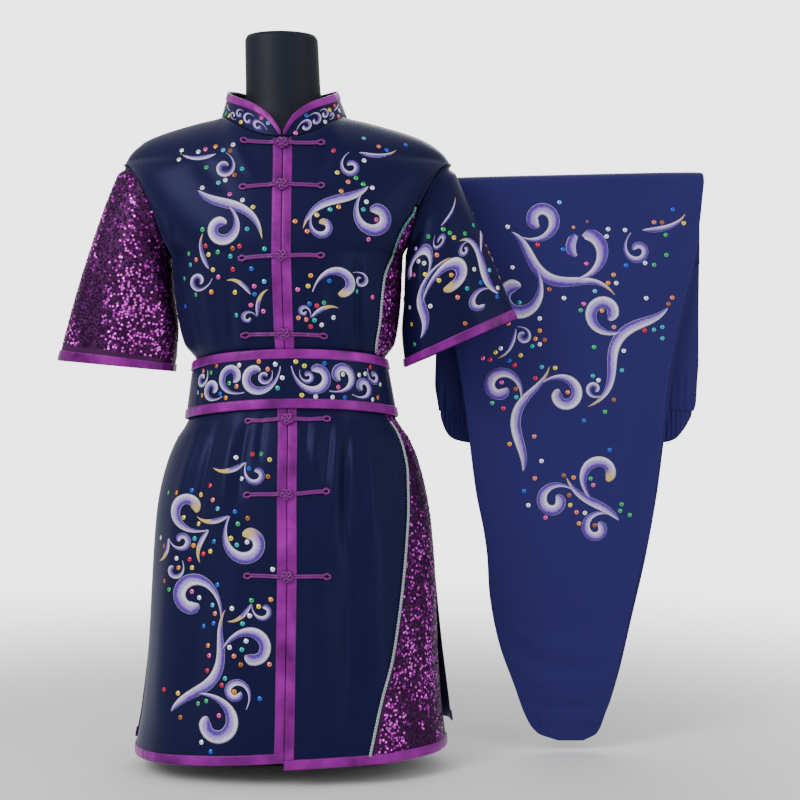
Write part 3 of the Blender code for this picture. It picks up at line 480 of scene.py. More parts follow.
def real_lengths(grid):
    """UVs in metres: distance along each row and up each column."""
    across = np.linalg.norm(np.diff(grid, axis=1), axis=2)
    along = np.linalg.norm(np.diff(grid, axis=0), axis=2)
    u = np.concatenate([np.zeros((len(grid), 1)), np.cumsum(across, axis=1)], axis=1)
    v = np.concatenate([np.zeros((1, grid.shape[1])), np.cumsum(along, axis=0)], axis=0)
    return np.stack([u, v], axis=-1) * MM


def shell(name, outer, inner, ring=False, flip=False, attributes=None):
    """A sheet with a wall: its two faces and the strips round its edges."""
    outer, inner = np.asarray(outer), np.asarray(inner)
    rows, wide = outer.shape[:2]
    count = rows * wide
    faces = [grid_faces(rows, wide, 0, ring, flip), grid_faces(rows, wide, count, ring, not flip)]
    place = np.arange(count).reshape(rows, wide)
    bottom, top = place[0], place[-1]
    borders = [(bottom[::-1], ring), (top, ring)]
    if not ring:
        borders += [(place[:, 0], False), (place[::-1, -1], False)]
    for line, closed in borders:
        after = np.roll(line, -1)
        pairs = list(zip(line, after)) if closed else list(zip(line[:-1], after[:-1]))
        rim = np.array([(a, b, b + count, a + count) for a, b in pairs])
        faces.append(rim[:, ::-1] if flip else rim)
    uvs = np.concatenate([real_lengths(outer).reshape(-1, 2)] * 2)
    points = np.concatenate([outer.reshape(-1, 3), inner.reshape(-1, 3)])
    full = None
    if ring:
        full = np.linalg.norm(np.roll(outer, -1, axis=1) - outer, axis=2).sum(axis=1) * MM
        full = np.tile(np.repeat(full, wide), 2)
    return add_mesh(name, points, np.concatenate(faces).tolist(), uvs, attributes, round_u=full)


def declare(made, nodes):
    """Ride on the body and stand for the solids, which are hidden."""
    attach(made, "root")
    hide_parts(*nodes)

# %% [markdown]
# ## Writing materials as sums
# A finish is arithmetic on a few patterns. Wrapping a node's output in a small class lets Python's
# own operators write that arithmetic, so `0.4 + 0.2 * threads` adds its two Math nodes by itself.

# %% A wire that can be added and multiplied
class Wire:
    """A node's output; each operator on it adds one Math node."""

    def __init__(self, tree, socket):
        self.tree, self.socket = tree, socket

    def math(self, operation, *values):
        node = self.tree.nodes.new("ShaderNodeMath")
        node.operation = operation
        for place, value in enumerate(values):
            if isinstance(value, Wire):
                self.tree.links.new(value.socket, node.inputs[place])
            else:
                node.inputs[place].default_value = value
        return Wire(self.tree, node.outputs[0])

    def __add__(self, other):
        return self.math("ADD", self, other)

    def __radd__(self, other):
        return self.math("ADD", other, self)

    def __sub__(self, other):
        return self.math("SUBTRACT", self, other)

    def __rsub__(self, other):
        return self.math("SUBTRACT", other, self)

    def __mul__(self, other):
        return self.math("MULTIPLY", self, other)

    def __rmul__(self, other):
        return self.math("MULTIPLY", other, self)

    def span(self, low, high):
        """0 below low, 1 above high, smooth between."""
        scaled = self.math("MULTIPLY", self.math("SUBTRACT", self, low), 1.0 / (high - low))
        node = self.tree.nodes.new("ShaderNodeClamp")
        self.tree.links.new(scaled.socket, node.inputs[0])
        clamped = Wire(self.tree, node.outputs[0])
        return clamped * clamped * (3.0 - 2.0 * clamped)


class Finish:
    """A material whose Principled shader is fed by wires and fixed numbers."""

    def __init__(self, name, **fixed):
        self.material = bpy.data.materials.new(name)
        self.material.use_nodes = True
        self.tree = self.material.node_tree
        self.shader = self.tree.nodes["Principled BSDF"]
        for label, value in fixed.items():
            self.shader.inputs[label.replace("_", " ")].default_value = value

    def node(self, kind, settings=None, values=None, output=0):
        """Any node: its settings are set first, then its sockets get numbers or wires."""
        made = self.tree.nodes.new(kind)
        for key, value in (settings or {}).items():
            if key == "stops":
                ramp = made.color_ramp
                while len(ramp.elements) < len(value):
                    ramp.elements.new(1.0)
                for stop, (place, colour) in zip(ramp.elements, value):
                    stop.position = place
                    stop.color = (*colour, 1.0)
            else:
                setattr(made, key, value)
        for key, value in (values or {}).items():
            if isinstance(value, Wire):
                self.tree.links.new(value.socket, made.inputs[key])
            else:
                made.inputs[key].default_value = value
        return Wire(self.tree, made.outputs[output])

    def mix(self, factor, first, second):
        """Blend two colours."""
        made = self.tree.nodes.new("ShaderNodeMix")
        made.data_type = "RGBA"
        for place, value in ((0, factor), (6, first), (7, second)):
            if isinstance(value, Wire):
                self.tree.links.new(value.socket, made.inputs[place])
            elif place:
                made.inputs[place].default_value = (*value, 1.0)
            else:
                made.inputs[place].default_value = value
        return Wire(self.tree, made.outputs[2])

    def noise(self, vector, scale, detail=2.0, roughness=0.5):
        return self.node("ShaderNodeTexNoise", None,
                         {"Vector": vector, "Scale": scale, "Detail": detail, "Roughness": roughness})

    def stretched(self, vector, scale):
        return self.node("ShaderNodeMapping", None, {"Vector": vector, "Scale": scale})

    def cloth_map(self):
        return self.node("ShaderNodeUVMap", {"uv_map": "cloth"})

    def place(self):
        return self.node("ShaderNodeTexCoord", None, None, output=3)

    def attribute(self, name, output=2):
        return self.node("ShaderNodeAttribute", {"attribute_name": name}, None, output)

    def feed(self, label, wire):
        self.tree.links.new(wire.socket, self.shader.inputs[label])

    def bump(self, height, strength, distance):
        wire = self.node("ShaderNodeBump", None,
                         {"Height": height, "Strength": strength, "Distance": distance})
        self.feed("Normal", wire)


# %% [markdown]
# ## Satin
# Satin's face is a close row of long floats, so it is smooth, with a soft broad shine and a hint of
# lines along the warp. Its base colour is painted paler in broad random patches, a painted sheen for
# where light would rake it, and it shows faint slubs. Threads read the cloth's own UV map in metres.

# %% Satin finishes
def satin(name, deep, pale, roughness, shine, sheen_tint, painted_shine_and_shade=0.0):
    made = Finish(name, Roughness=roughness, Specular_IOR_Level=shine, Sheen_Weight=0.07,
                  Sheen_Roughness=0.45, Sheen_Tint=(*sheen_tint, 1.0), Specular_Tint=(*sheen_tint, 1.0))
    cloth = made.cloth_map()
    warp = made.noise(made.stretched(cloth, (1 / 0.00045, 1 / 0.03, 1.0)), 1.0, 1.0)
    slub = made.noise(made.stretched(cloth, (1 / 0.012, 1 / 0.0016, 1.0)), 1.0, 1.0)
    cloud = made.noise(made.place(), 9.0, 3.0, 0.6)
    # The cloud noise paints broad paler patches, a painted sheen; warp and slub give the weave's own tone
    tone = 0.15 + 0.5 * cloud + 0.22 * warp + 0.13 * slub
    # Narrow bindings get extra painted highlights and painted shade along them, in place of the light on their puckers
    if painted_shine_and_shade:
        tone = tone - 0.08 + painted_shine_and_shade * (made.noise(made.place(), 26.0, 2.0) - 0.5)
    made.feed("Base Color", made.mix(tone, deep, pale))
    made.feed("Roughness", roughness - 0.10 + 0.12 * warp + 0.10 * cloud)
    made.bump(0.6 * warp + 0.4 * slub, 0.10, 0.0002)
    return made.material


NAVY_SATIN = satin("navy satin", (0.0024, 0.0024, 0.0165), (0.0070, 0.0066, 0.042), 0.37, 0.17,
                   (0.45, 0.48, 1.0))
TROUSER_SATIN = satin("navy trouser satin", (0.0125, 0.0108, 0.070), (0.0225, 0.0190, 0.118), 0.46, 0.16,
                      (0.5, 0.52, 1.0))
# The last number sets how strongly painted highlights and painted shade vary along the bindings
PURPLE_SATIN = satin("purple binding satin", (0.042, 0.0008, 0.052), (0.31, 0.0055, 0.33), 0.30, 0.26,
                     (1.0, 0.55, 1.0), 1.7)
print("satins:", NAVY_SATIN.name, "/", TROUSER_SATIN.name, "/", PURPLE_SATIN.name)

# %% [markdown]
# ## Net under sequins, cord, braid, form and stand
# The sequinned cloth is a dark plum net that shows between its sequins. The frogs are rolled satin
# cord, the braid is metal thread that runs from teal to silver, and the sewing thread is purple. The
# dress form is smooth black jersey over a hard shell, and the stand is black lacquered steel.

# %% Other finishes
def plain_finish(name, deep, pale, roughness, grain, depth, **fixed):
    made = Finish(name, Roughness=roughness, **fixed)
    fine = made.noise(made.place(), grain, 3.0, 0.6)
    broad = made.noise(made.place(), 14.0, 2.0)
    made.feed("Base Color", made.mix(0.55 * fine + 0.45 * broad, deep, pale))
    made.feed("Roughness", roughness - 0.06 + 0.12 * fine)
    made.bump(fine, 0.25, depth)
    return made.material


PLUM_NET = plain_finish("plum sequin net", (0.022, 0.0015, 0.026), (0.065, 0.004, 0.072), 0.5, 900.0, 0.0003,
                        Specular_IOR_Level=0.2)
FORM_BLACK = plain_finish("black form jersey", (0.0042, 0.0060, 0.0125), (0.0085, 0.0112, 0.0215), 0.5,
                          1400.0, 0.00012, Specular_IOR_Level=0.16, Sheen_Weight=0.03)
STAND_BLACK = plain_finish("black lacquered steel", (0.006, 0.006, 0.007), (0.016, 0.016, 0.018), 0.3, 700.0,
                           0.00006, Coat_Weight=0.3)
PURPLE_CORD = plain_finish("rolled satin cord", (0.060, 0.0016, 0.070), (0.24, 0.0070, 0.25), 0.34, 420.0,
                           0.0003, Specular_IOR_Level=0.35, Sheen_Weight=0.08)
PURPLE_STITCH = plain_finish("purple sewing thread", (0.14, 0.012, 0.18), (0.26, 0.03, 0.32), 0.5, 2000.0,
                             0.0001)


def metal_thread():
    """Metal thread whose tone runs from silver (0) to teal (1) along the braid."""
    made = Finish("metal thread", Roughness=0.32, Metallic=0.55)
    fine = made.noise(made.place(), 1500.0, 2.0)
    silver = made.mix(fine, (0.24, 0.28, 0.32), (0.56, 0.61, 0.66))
    teal = made.mix(fine, (0.008, 0.10, 0.08), (0.05, 0.28, 0.23))
    made.feed("Base Color", made.mix(made.attribute("teal"), silver, teal))
    made.feed("Roughness", 0.26 + 0.16 * fine)
    made.bump(fine, 0.3, 0.0002)
    return made.material


METAL_THREAD = metal_thread()
print("materials so far:", len(bpy.data.materials))

# %% [markdown]
# ## The jacket's four panels
# The maker cuts two fronts, a narrow sequinned side panel and one back. Here each is a fine grid on
# the jacket's surface. Its columns crowd together towards the side seam, where the cloth turns away
# quickly. The seams stay open by a hair, as the solids' do, and read as stitched seams.

# %% Cut and place the panels
def turn_shares(steps):
    """Shares from the centre to the side, closer together where the cloth turns."""
    return np.sin(np.linspace(0.0, 0.5 * math.pi, steps))


def left_front_grid(lift):
    """The left front ends at the seam of the side panel, and at the armhole above it."""
    steps = np.linspace(0.0, 1.0, 58)
    rough = panel_heights(-1, steps * 0.85)
    rows = len(rough)
    share = np.zeros((rows, len(steps)))
    height = rough.copy()
    for _ in range(6):
        far = np.where(height[:, -1] < braid_top, seam_share(height[:, -1]) - SEAM_GAP / 150, 1.0)
        share = np.maximum(steps[None, :] * far[:, None], 0.5 * SEAM_GAP / 150)
        height = rows_at(-1, share)
    return torso(-1, share, height, lift)


def rows_at(face, share):
    """Heights of the fine rows where every row has its own shares."""
    hem, top = hem_height(face, share), top_height(face, share)
    rows = np.arange(len(share))
    low, high = len(HEM_ROWS), len(HEM_ROWS) + len(BODY_ROWS)
    height = np.zeros(share.shape)
    height[:low] = hem[:low] + (80.0 - hem[:low]) * HEM_ROWS[:, None]
    height[low:high] = BODY_ROWS[:, None]
    height[high:] = ARMPIT_HEIGHT + (top[high:] - ARMPIT_HEIGHT) * CHEST_ROWS[rows[high:] - high][:, None]
    return height


braid_top = 768.0


def side_panel_grid(lift):
    steps = np.linspace(0.0, 1.0, 22)
    heights = np.concatenate([panel_heights(-1, np.array([0.9]))[:, 0][:len(HEM_ROWS) + len(BODY_ROWS)],
                              np.linspace(ARMPIT_HEIGHT, 764.0, 14)[1:]])
    start = seam_share(heights)[:, None] + SEAM_GAP / 150
    share = start + (1 - start) * (1 - (1 - steps[None, :]) ** 1.5)
    height = np.broadcast_to(heights[:, None], share.shape).copy()
    low = len(HEM_ROWS)
    hem = hem_height(-1, share[:low])
    height[:low] = hem + (80.0 - hem) * HEM_ROWS[:, None]
    return torso(-1, share, height, lift)


right_share = np.minimum(-turn_shares(66), -0.5 * SEAM_GAP / 150)[::-1]
right_height = panel_heights(-1, right_share)
back_share = np.concatenate([-turn_shares(60)[:0:-1], turn_shares(60)])
back_height = panel_heights(1, back_share)


def panel_grid(name, lift):
    if name == "front_right":
        return torso(-1, right_share[None, :], right_height, lift)
    if name == "front_left":
        return left_front_grid(lift)
    if name == "side_panel_left":
        return side_panel_grid(lift)
    return torso(1, back_share[None, :], back_height, lift)


jacket = {}
for label, finish, slot in (("front_right", NAVY_SATIN, "navy_satin"),
                            ("front_left", NAVY_SATIN, "navy_satin"),
                            ("side_panel_left", PLUM_NET, "sequin_cloth"),
                            ("back", NAVY_SATIN, "navy_satin")):
    outer = panel_grid(label, CLOTH)
    made = shell(f"satin_{label}", outer, panel_grid(label, 0.0), flip=label == "back")
    made.data.materials.append(finish)
    declare(made, [f"jacket_{label}"])
    jacket[label] = made

# %% [markdown]
# ## Sleeves
# A sleeve is a tube sewn into the armhole. Its outer edge continues the shoulder and its inner edge
# starts at the armpit. Limp satin hangs in a few soft flutes that deepen towards the cuff.

# %% Sleeves
# Share along it, outer x and z, inner x and z, half depth
RIGHT_SLEEVE = (
    (0.00, -234, 834, -168.5, 704, 54),
    (0.18, -253, 785, -166.5, 682, 58),
    (0.45, -277, 714, -164, 645, 59),
    (0.72, -299, 645, -159, 605, 54),
    (1.00, -323, 560, -163, 545, 45),
)
LEFT_SLEEVE = (
    (0.00, 225.5, 834, 160.5, 704, 54),
    (0.18, 244, 789, 159.5, 682, 58),
    (0.45, 267, 735, 158.5, 645, 59),
    (0.72, 291, 679, 155.5, 603, 52),
    (1.00, 316, 618, 160, 551, 44),
)
# Flutes: at which turn round the sleeve, how wide in degrees and how deep at the cuff
RIGHT_FLUTES = ((38, 17, 3.4), (66, 12, -3.4), (92, 15, 3), (118, 12, -3.8),
                (143, 13, 2.4), (215, 18, 3), (252, 14, -3.6), (290, 18, 3))
LEFT_FLUTES = ((42, 18, -2.8), (74, 15, 2.8), (104, 14, -2.6), (128, 12, 3.2),
               (152, 12, -4.2), (218, 17, 3), (250, 14, -3.2), (300, 18, 2.8))


def bare_sleeve(table, flutes, along, phase):
    """Outer face of a sleeve; phase 0 is its outer edge, 90 degrees its front, 180 its inner edge."""
    outer_x, outer_z, inner_x, inner_z, half_depth = (table_curve(table, k)(along) for k in range(1, 6))
    middle = 0.5 * (1 + np.cos(phase))
    power = SLEEVE_ROUNDNESS + (CUFF_ROUNDNESS - SLEEVE_ROUNDNESS) * ease(along / 0.35)
    bow = np.sign(np.sin(phase)) * np.abs(np.sin(phase)) ** power
    x = inner_x + (outer_x - inner_x) * middle
    z = inner_z + (outer_z - inner_z) * middle
    side = 1.0 if table[0][1] > 0 else -1.0
    line = np.abs(inner_x - centre_x(z))
    line = line + (np.abs(outer_x - centre_x(z)) - line) * middle
    sewn = armhole_x(np.minimum(z, SHOULDER_END_HEIGHT)) + SEWN_OUT
    bend = np.minimum((sewn - line) * (1 - ease(along / SLEEVE_HEAD)), 0)
    x = x + np.where((along < SLEEVE_HEAD) & (z > ARMPIT_HEIGHT), side * bend, 0.0)
    turn = np.degrees(phase) % 360.0
    wave = sum(depth * np.exp(-(((turn - at + 180) % 360 - 180) / width) ** 2) for at, width, depth in flutes)
    return places(x, -bow * half_depth - np.sign(np.sin(phase)) * wave * ease(along * 1.3), z)


def length_of_sleeve(table, flutes):
    """Length in mm along its front, from the last tenth above the cuff."""
    last_tenth = bare_sleeve(table, flutes, 1.0, 1.57) - bare_sleeve(table, flutes, 0.9, 1.57)
    return 10 * float(np.linalg.norm(last_tenth))


def sleeve_skin(table, flutes, along, phase, lift=0.0):
    along, phase = np.broadcast_arrays(np.asarray(along, float), np.asarray(phase, float))
    inside = np.clip(along, 0.004, 0.996)

    def at(share, turn):
        return bare_sleeve(table, flutes, share, turn)

    down = at(inside + 0.004, phase) - at(inside - 0.004, phase)
    round_it = at(along, phase + 0.02) - at(along, phase - 0.02)
    side = 1.0 if table[0][1] > 0 else -1.0
    facing = unit(np.cross(down, round_it)) * -side
    return at(along, phase) + facing * np.asarray(lift)[..., None]


PHASES = np.linspace(0.0, 2 * math.pi, 97)[:-1][None, :]
ALONG = np.concatenate([np.linspace(0.0, 0.07, 9), np.linspace(0.07, 1.0, 60)[1:]])[:, None]
for side, table, flutes, finish, slot in (
    ("right", RIGHT_SLEEVE, RIGHT_FLUTES, PLUM_NET, "sequin_cloth"),
    ("left", LEFT_SLEEVE, LEFT_FLUTES, NAVY_SATIN, "navy_satin"),
):
    outer = sleeve_skin(table, flutes, ALONG, PHASES)
    inner = sleeve_skin(table, flutes, ALONG, PHASES, -CLOTH)
    made = shell(f"satin_sleeve_{side}", outer, inner, ring=True, flip=side == "right")
    made.data.materials.append(finish)
    declare(made, [f"sleeve_{side}"])

# %% [markdown]
# ## Purple bindings
# A binding is a strip of satin folded over an edge and stitched down. It is thicker than the cloth,
# rounded along both sides, and puckers slightly where the stitches pull. Its cross-section here is a
# low pillow of seven points, and its height trembles a little along its length.

# %% Bindings
PILLOW = np.array([0.0, 0.72, 0.94, 1.0, 0.94, 0.72, 0.0])
PILLOW_AT = np.array([0.0, 0.05, 0.18, 0.5, 0.82, 0.95, 1.0])


def pucker(length, seed):
    """Small uneven swellings along a seam, from -1 to 1."""
    draw = np.random.default_rng(seed)
    waves = [(draw.uniform(9, 16), draw.uniform(0, 6.3), 0.6),
             (draw.uniform(17, 34), draw.uniform(0, 6.3), 0.8),
             (draw.uniform(50, 90), draw.uniform(0, 6.3), 0.7)]
    return sum(w * np.sin(2 * math.pi * length / p + s) for p, s, w in waves) / 2.1


def binding(name, across, length, nodes, seed, flip=False, ring=False, wall=TAPE):
    """across(k, lift) gives the line of points at the k-th share of the strip's width."""
    swell = 1.0 + 0.30 * pucker(length, seed)
    top = np.stack([across(t, wall * h * swell) for t, h in zip(PILLOW_AT, PILLOW)])
    under = np.stack([across(t, 0.0 * swell - 0.02) for t in PILLOW_AT])
    made = shell(name, top, under, ring=ring, flip=flip)
    made.data.materials.append(PURPLE_SATIN)
    declare(made, nodes)
    return made


def running_length(points):
    return np.concatenate([[0.0], np.cumsum(np.linalg.norm(np.diff(points, axis=0), axis=1))])


placket_height = np.concatenate([np.linspace(36.5, 480, 150), np.linspace(480, 856.0, 140)[1:]])
for side, sign in (("right", -1.0), ("left", 1.0)):
    def across_placket(t, lift, sign=sign):
        reach = 0.3 + (TAPE_WIDTH - 0.3) * (t if sign > 0 else 1 - t)
        share = sign * reach / edge_x(placket_height)
        return torso(-1, share, placket_height, TAPE_LIFT + lift)
    binding(f"binding_placket_{side}", across_placket, placket_height, [f"placket_tape_{side}"],
            11 if side == "right" else 12, flip=True)

hem_lines = {
    "front_right": (-1, -1.0, -0.001), "front_left": (-1, 0.001, float(seam_share(40.0)) - 0.002),
    "side_panel_left": (-1, float(seam_share(30.0)) + 0.002, 1.0), "back": (1, -1.0, 1.0),
}
for number, (label, (face, first, last)) in enumerate(hem_lines.items()):
    angle = np.linspace(math.asin(first), math.asin(last), 190 if label != "side_panel_left" else 60)
    hem_share = np.sin(angle)
    length = running_length(torso(face, hem_share, hem_height(face, hem_share)))

    def across_hem(t, lift, face=face, hem_share=hem_share):
        return torso(face, hem_share, hem_height(face, hem_share) + TAPE_WIDTH * t, TAPE_LIFT + lift)
    binding(f"binding_hem_{label}", across_hem, length, [f"hem_tape_{label}"],
            20 + number,
            flip=label == "back")

for side, table, flutes in (("right", RIGHT_SLEEVE, RIGHT_FLUTES), ("left", LEFT_SLEEVE, LEFT_FLUTES)):
    cuff_phase = np.linspace(0.0, 2 * math.pi, 241)[:-1]
    length = running_length(sleeve_skin(table, flutes, 1.0, cuff_phase))
    sleeve_length = length_of_sleeve(table, flutes)

    def across_cuff(t, lift, table=table, flutes=flutes, sleeve_length=sleeve_length):
        along = 1.0 - TAPE_WIDTH * (1 - t) / sleeve_length
        return sleeve_skin(table, flutes, along, cuff_phase, 0.5 + lift)
    binding(f"binding_cuff_{side}", across_cuff, length, [f"cuff_tape_{side}"],
            30 + (side == "left"), flip=side == "right", ring=True)

# %% [markdown]
# ## The belt
# The belt is a stiffened satin band bound along both edges, wrapped once round the waist and
# fastened at the back with a short lap. It rides highest at the centre front.

# %% Belt and its bindings
BELT_HEIGHT, BELT_WALL, BELT_OVERLAP = 79.0, 1.8, 24.0
BELT_LIFT = TAPE_LIFT + TAPE + 0.6
BELT_LAP = 2 * TAPE + BELT_WALL + 2.4


def belt_point(angle, up, lift):
    """angle 0 is the centre front and 90 the wearer's left; up runs from the belt's lower edge."""
    turn = (angle + 180.0) % 360.0 - 180.0
    face = np.where(np.abs(turn) <= 90, -1.0, 1.0)
    share = np.sin(np.radians(turn))
    peak = 6.0 * np.maximum(np.cos(np.radians(angle)), 0.0) ** 2
    bottom = 480.0 + 8.0 * np.cos(np.radians(angle)) + peak + 2.0 * np.sin(np.radians(angle))
    out = lift + BELT_LAP * ease((angle - 150.0) / 30.0)

    def ring(height):
        depth = np.where(face < 0, front_depth(height), back_depth(height))
        x = centre_x(height) + share * (edge_x(height) + out)
        return places(x, face * oval(share, FABRIC_SQUARENESS) * (depth + out), height)

    low, high = ring(bottom), ring(bottom + BELT_HEIGHT)
    return low + (high - low) * (np.asarray(up) / BELT_HEIGHT)[..., None]


belt_angle = np.linspace(-180.0, 180.0 + BELT_OVERLAP, 260)
belt_up = np.linspace(0.0, BELT_HEIGHT, 15)[:, None]
soft = 0.5 * pucker(belt_angle * 2.5, 5)[None, :] * np.sin(math.pi * belt_up / BELT_HEIGHT)
belt_outer = belt_point(belt_angle[None, :], belt_up, BELT_LIFT + BELT_WALL + soft)
band = shell("satin_belt", belt_outer, belt_point(belt_angle[None, :], belt_up, BELT_LIFT + 0 * soft))
band.data.materials.append(NAVY_SATIN)
declare(band, ["belt"])
for label, low in (("lower", 0.0), ("upper", BELT_HEIGHT - TAPE_WIDTH)):
    def across_belt(t, lift, low=low):
        return belt_point(belt_angle, low + TAPE_WIDTH * t, BELT_LIFT + BELT_WALL + 0.5 + lift)
    binding(f"binding_belt_{label}", across_belt, running_length(across_belt(0.5, 0.0)),
            [f"belt_tape_{label}"],
            41 if label == "lower" else 42)

# %% [markdown]
# ## The stand collar
# The collar is a stiff band that stands on the neckline and rounds off at the centre front. Its free
# edge carries a purple binding as well.

# %% Collar
COLLAR_EDGE = (
    (0.0, 0.05),
    (4.0, 0.19),
    (13.0, 0.40),
    (31.0, 0.57),
    (55.0, 0.66),
    (75.0, 0.76),
    (95.0, 0.92),
    (120.0, 1.0),
    (180.0, 1.0),
)
COLLAR_TOP_HEIGHT, COLLAR_TOP_SIDE, COLLAR_TOP_DEPTH = 941.0, 72.0, 63.0
COLLAR_WALL, COLLAR_SEAM, COLLAR_TAPE_WIDTH = 1.6, 0.9, 11.5
COLLAR_FOOT_FRONT, COLLAR_FOOT_BACK = 82.0, 68.0
collar_rise = table_curve(COLLAR_EDGE)


def bare_collar(turn, share):
    angle = np.radians(turn)
    front = np.abs(turn) <= 90
    distance = NECK_SIDE * np.sin(angle)
    height = np.where(front, neckline(-1, distance), neckline(1, distance))
    depth = np.where(front, COLLAR_FOOT_FRONT, COLLAR_FOOT_BACK)
    foot = np.stack([centre_x(height) + distance, -depth * np.cos(angle), height + COLLAR_SEAM], -1)
    top = np.stack([centre_x(COLLAR_TOP_HEIGHT) + COLLAR_TOP_SIDE * np.sin(angle),
                    -COLLAR_TOP_DEPTH * np.cos(angle), np.full_like(angle, COLLAR_TOP_HEIGHT)], -1)
    return foot + (top - foot) * (share * collar_rise(np.abs(turn)))[..., None]


def collar_skin(turn, share, lift=0.0):
    turn, share = np.broadcast_arrays(np.asarray(turn, float), np.asarray(share, float))
    inner = np.clip(share, 0.02, 0.98)
    across = bare_collar(turn + 0.5, share + 0 * turn) - bare_collar(turn - 0.5, share + 0 * turn)
    along = bare_collar(turn, inner + 0.02) - bare_collar(turn, inner - 0.02)
    flat = np.linalg.norm(along, axis=-1, keepdims=True) < 1e-4
    along = np.where(flat, np.array([0.0, 0.0, 1.0]), along)
    return bare_collar(turn, share) + unit(np.cross(across, along)) * np.asarray(lift)[..., None]


collar_turn = np.concatenate([np.linspace(1.0, 30.0, 34), np.linspace(30.0, 180.0, 80)[1:]])
collar_turn = np.concatenate([collar_turn, 360.0 - collar_turn[-2::-1]])
collar_turn_signed = np.where(collar_turn > 180.0, collar_turn - 360.0, collar_turn)
collar_up = np.linspace(0.0, 1.0, 12)[:, None]
collar_outer = collar_skin(collar_turn_signed[None, :], collar_up, COLLAR_WALL)
made = shell("satin_collar", collar_outer, collar_skin(collar_turn_signed[None, :], collar_up))
made.data.materials.append(NAVY_SATIN)
declare(made, ["collar"])

collar_tall = np.linalg.norm(bare_collar(collar_turn_signed, np.ones_like(collar_turn))
                             - bare_collar(collar_turn_signed, np.zeros_like(collar_turn)), axis=-1)


def across_collar(t, lift):
    drop = np.minimum(COLLAR_TAPE_WIDTH / collar_tall, 0.9)
    return collar_skin(collar_turn_signed, 1.0 - drop * (1 - t), COLLAR_WALL + 0.5 + lift)


binding("binding_collar", across_collar, running_length(across_collar(1.0, 0.0)), ["collar_tape"],
        51)

# %% [markdown]
# ## The trousers
# Each leg is a flattened tube that goes up the front, over the rod and down behind it to the seat.
# The front leg shows whole; the other leg and the seat only show as layers at the edges, and the
# elastic waistband hangs at the bottom of the seat, gathered into small ribs.

# %% Trousers
FRONT_LEG = (
    (14, 380, 418),
    (24, 352, 437),
    (43, 337, 446),
    (98, 316, 462),
    (150, 297, 474),
    (193, 287, 484),
    (235, 281, 493),
    (275, 279, 503),
    (314, 274, 514),
    (369, 263, 521),
    (461, 251, 533),
    (505, 245, 537),
    (571, 234, 547),
    (640, 222, 562),
    (700, 214, 577),
    (790, 208, 589),
    (830, 208, 592),
)
BACK_LEG = (
    (30, 385, 430),
    (40, 358, 444),
    (98, 326, 466),
    (193, 297, 489),
    (275, 289, 508),
    (369, 273, 525),
    (461, 261, 537),
    (571, 244, 552),
    (700, 222, 580),
    (790, 211, 588),
    (830, 211, 589),
)
SEAT = (
    (489.0, 210.0, 583.0),
    (500.0, 208.0, 586.0),
    (530.0, 204.0, 588.0),
    (563.0, 205.0, 590.0),
    (619.0, 206.0, 590.0),
    (703.6, 207.0, 591.0),
)
ROD_HEIGHT, ROD_Y, ARM_DIAMETER, LEG_THICKNESS = 818.0, 81.0, 12.0, 6.0
FOLD_DROP, FOLD_LOW_X, FOLD_HIGH_X = 9.0, 208.0, 592.0
INNER_RADIUS = 0.5 * ARM_DIAMETER + 0.7 + 0.5 * LEG_THICKNESS
OUTER_RADIUS = INNER_RADIUS + LEG_THICKNESS + 0.6
TROUSER_CREASES = (
    (590, 812, 512, 700, 8, -2.2, 6),
    (560, 640, 540, 480, 10, 1.6, -6),
    (530, 560, 470, 330, 14, -1.8, 9),
    (300, 180, 430, 140, 10, 1.4, 8),
    (296, 150, 452, 116, 9, -1.6, 10),
    (330, 96, 460, 92, 7, 1.6, -6),
    (336, 70, 440, 62, 6, -1.8, 4),
    (240, 520, 330, 430, 16, -1.3, 7),
    (222, 760, 250, 560, 15, 1.4, -5),
    (420, 806, 410, 690, 18, -1.2, 4),
    (395, 300, 400, 110, 15, 1.5, 6),
    (350, 60, 352, 26, 3, -1.4, 0),
    (366, 58, 367, 22, 3, 1.2, 0),
    (383, 60, 384, 16, 3, -1.6, 0),
    (400, 62, 400, 15, 3, 1.2, 0),
    (417, 60, 415, 20, 3, -1.4, 0),
    (434, 62, 430, 28, 3, 1, 0),
)


# How much deeper the drawn creases go, and the spacing of ribs and sewn rows at the waist
CREASE_GAIN = 1.4
SEAT_RIB, BAND_RIB, BAND_ROW = 13.0, 6.4, 10.5
BAND_FOOT, BAND_TOP = 441.6, 495.0


def fold_top(x):
    """The fold hangs a little lower at its left end."""
    return -FOLD_DROP * (FOLD_HIGH_X - x) / (FOLD_HIGH_X - FOLD_LOW_X)


def hung_rings(left, right, y, z, tilt, thickness, phase, side_power=0.45, wall=0.0):
    """Flat oval sections of folded cloth, one for each row; tilt turns them over the rod."""
    across, through = np.cos(phase), np.sin(phase)
    left, right, y, z, tilt, thickness = (np.asarray(v, float)[:, None]
                                          for v in (left, right, y, z, tilt, thickness))
    half = 0.5 * (right - left) - wall
    x = 0.5 * (left + right) + half * np.sign(across) * np.abs(across) ** side_power
    off = (0.5 * thickness - wall) * np.sign(through) * np.abs(through) ** 0.6
    return np.stack([x, y + off * np.cos(tilt), z - off * np.sin(tilt) + 0 * x], -1)


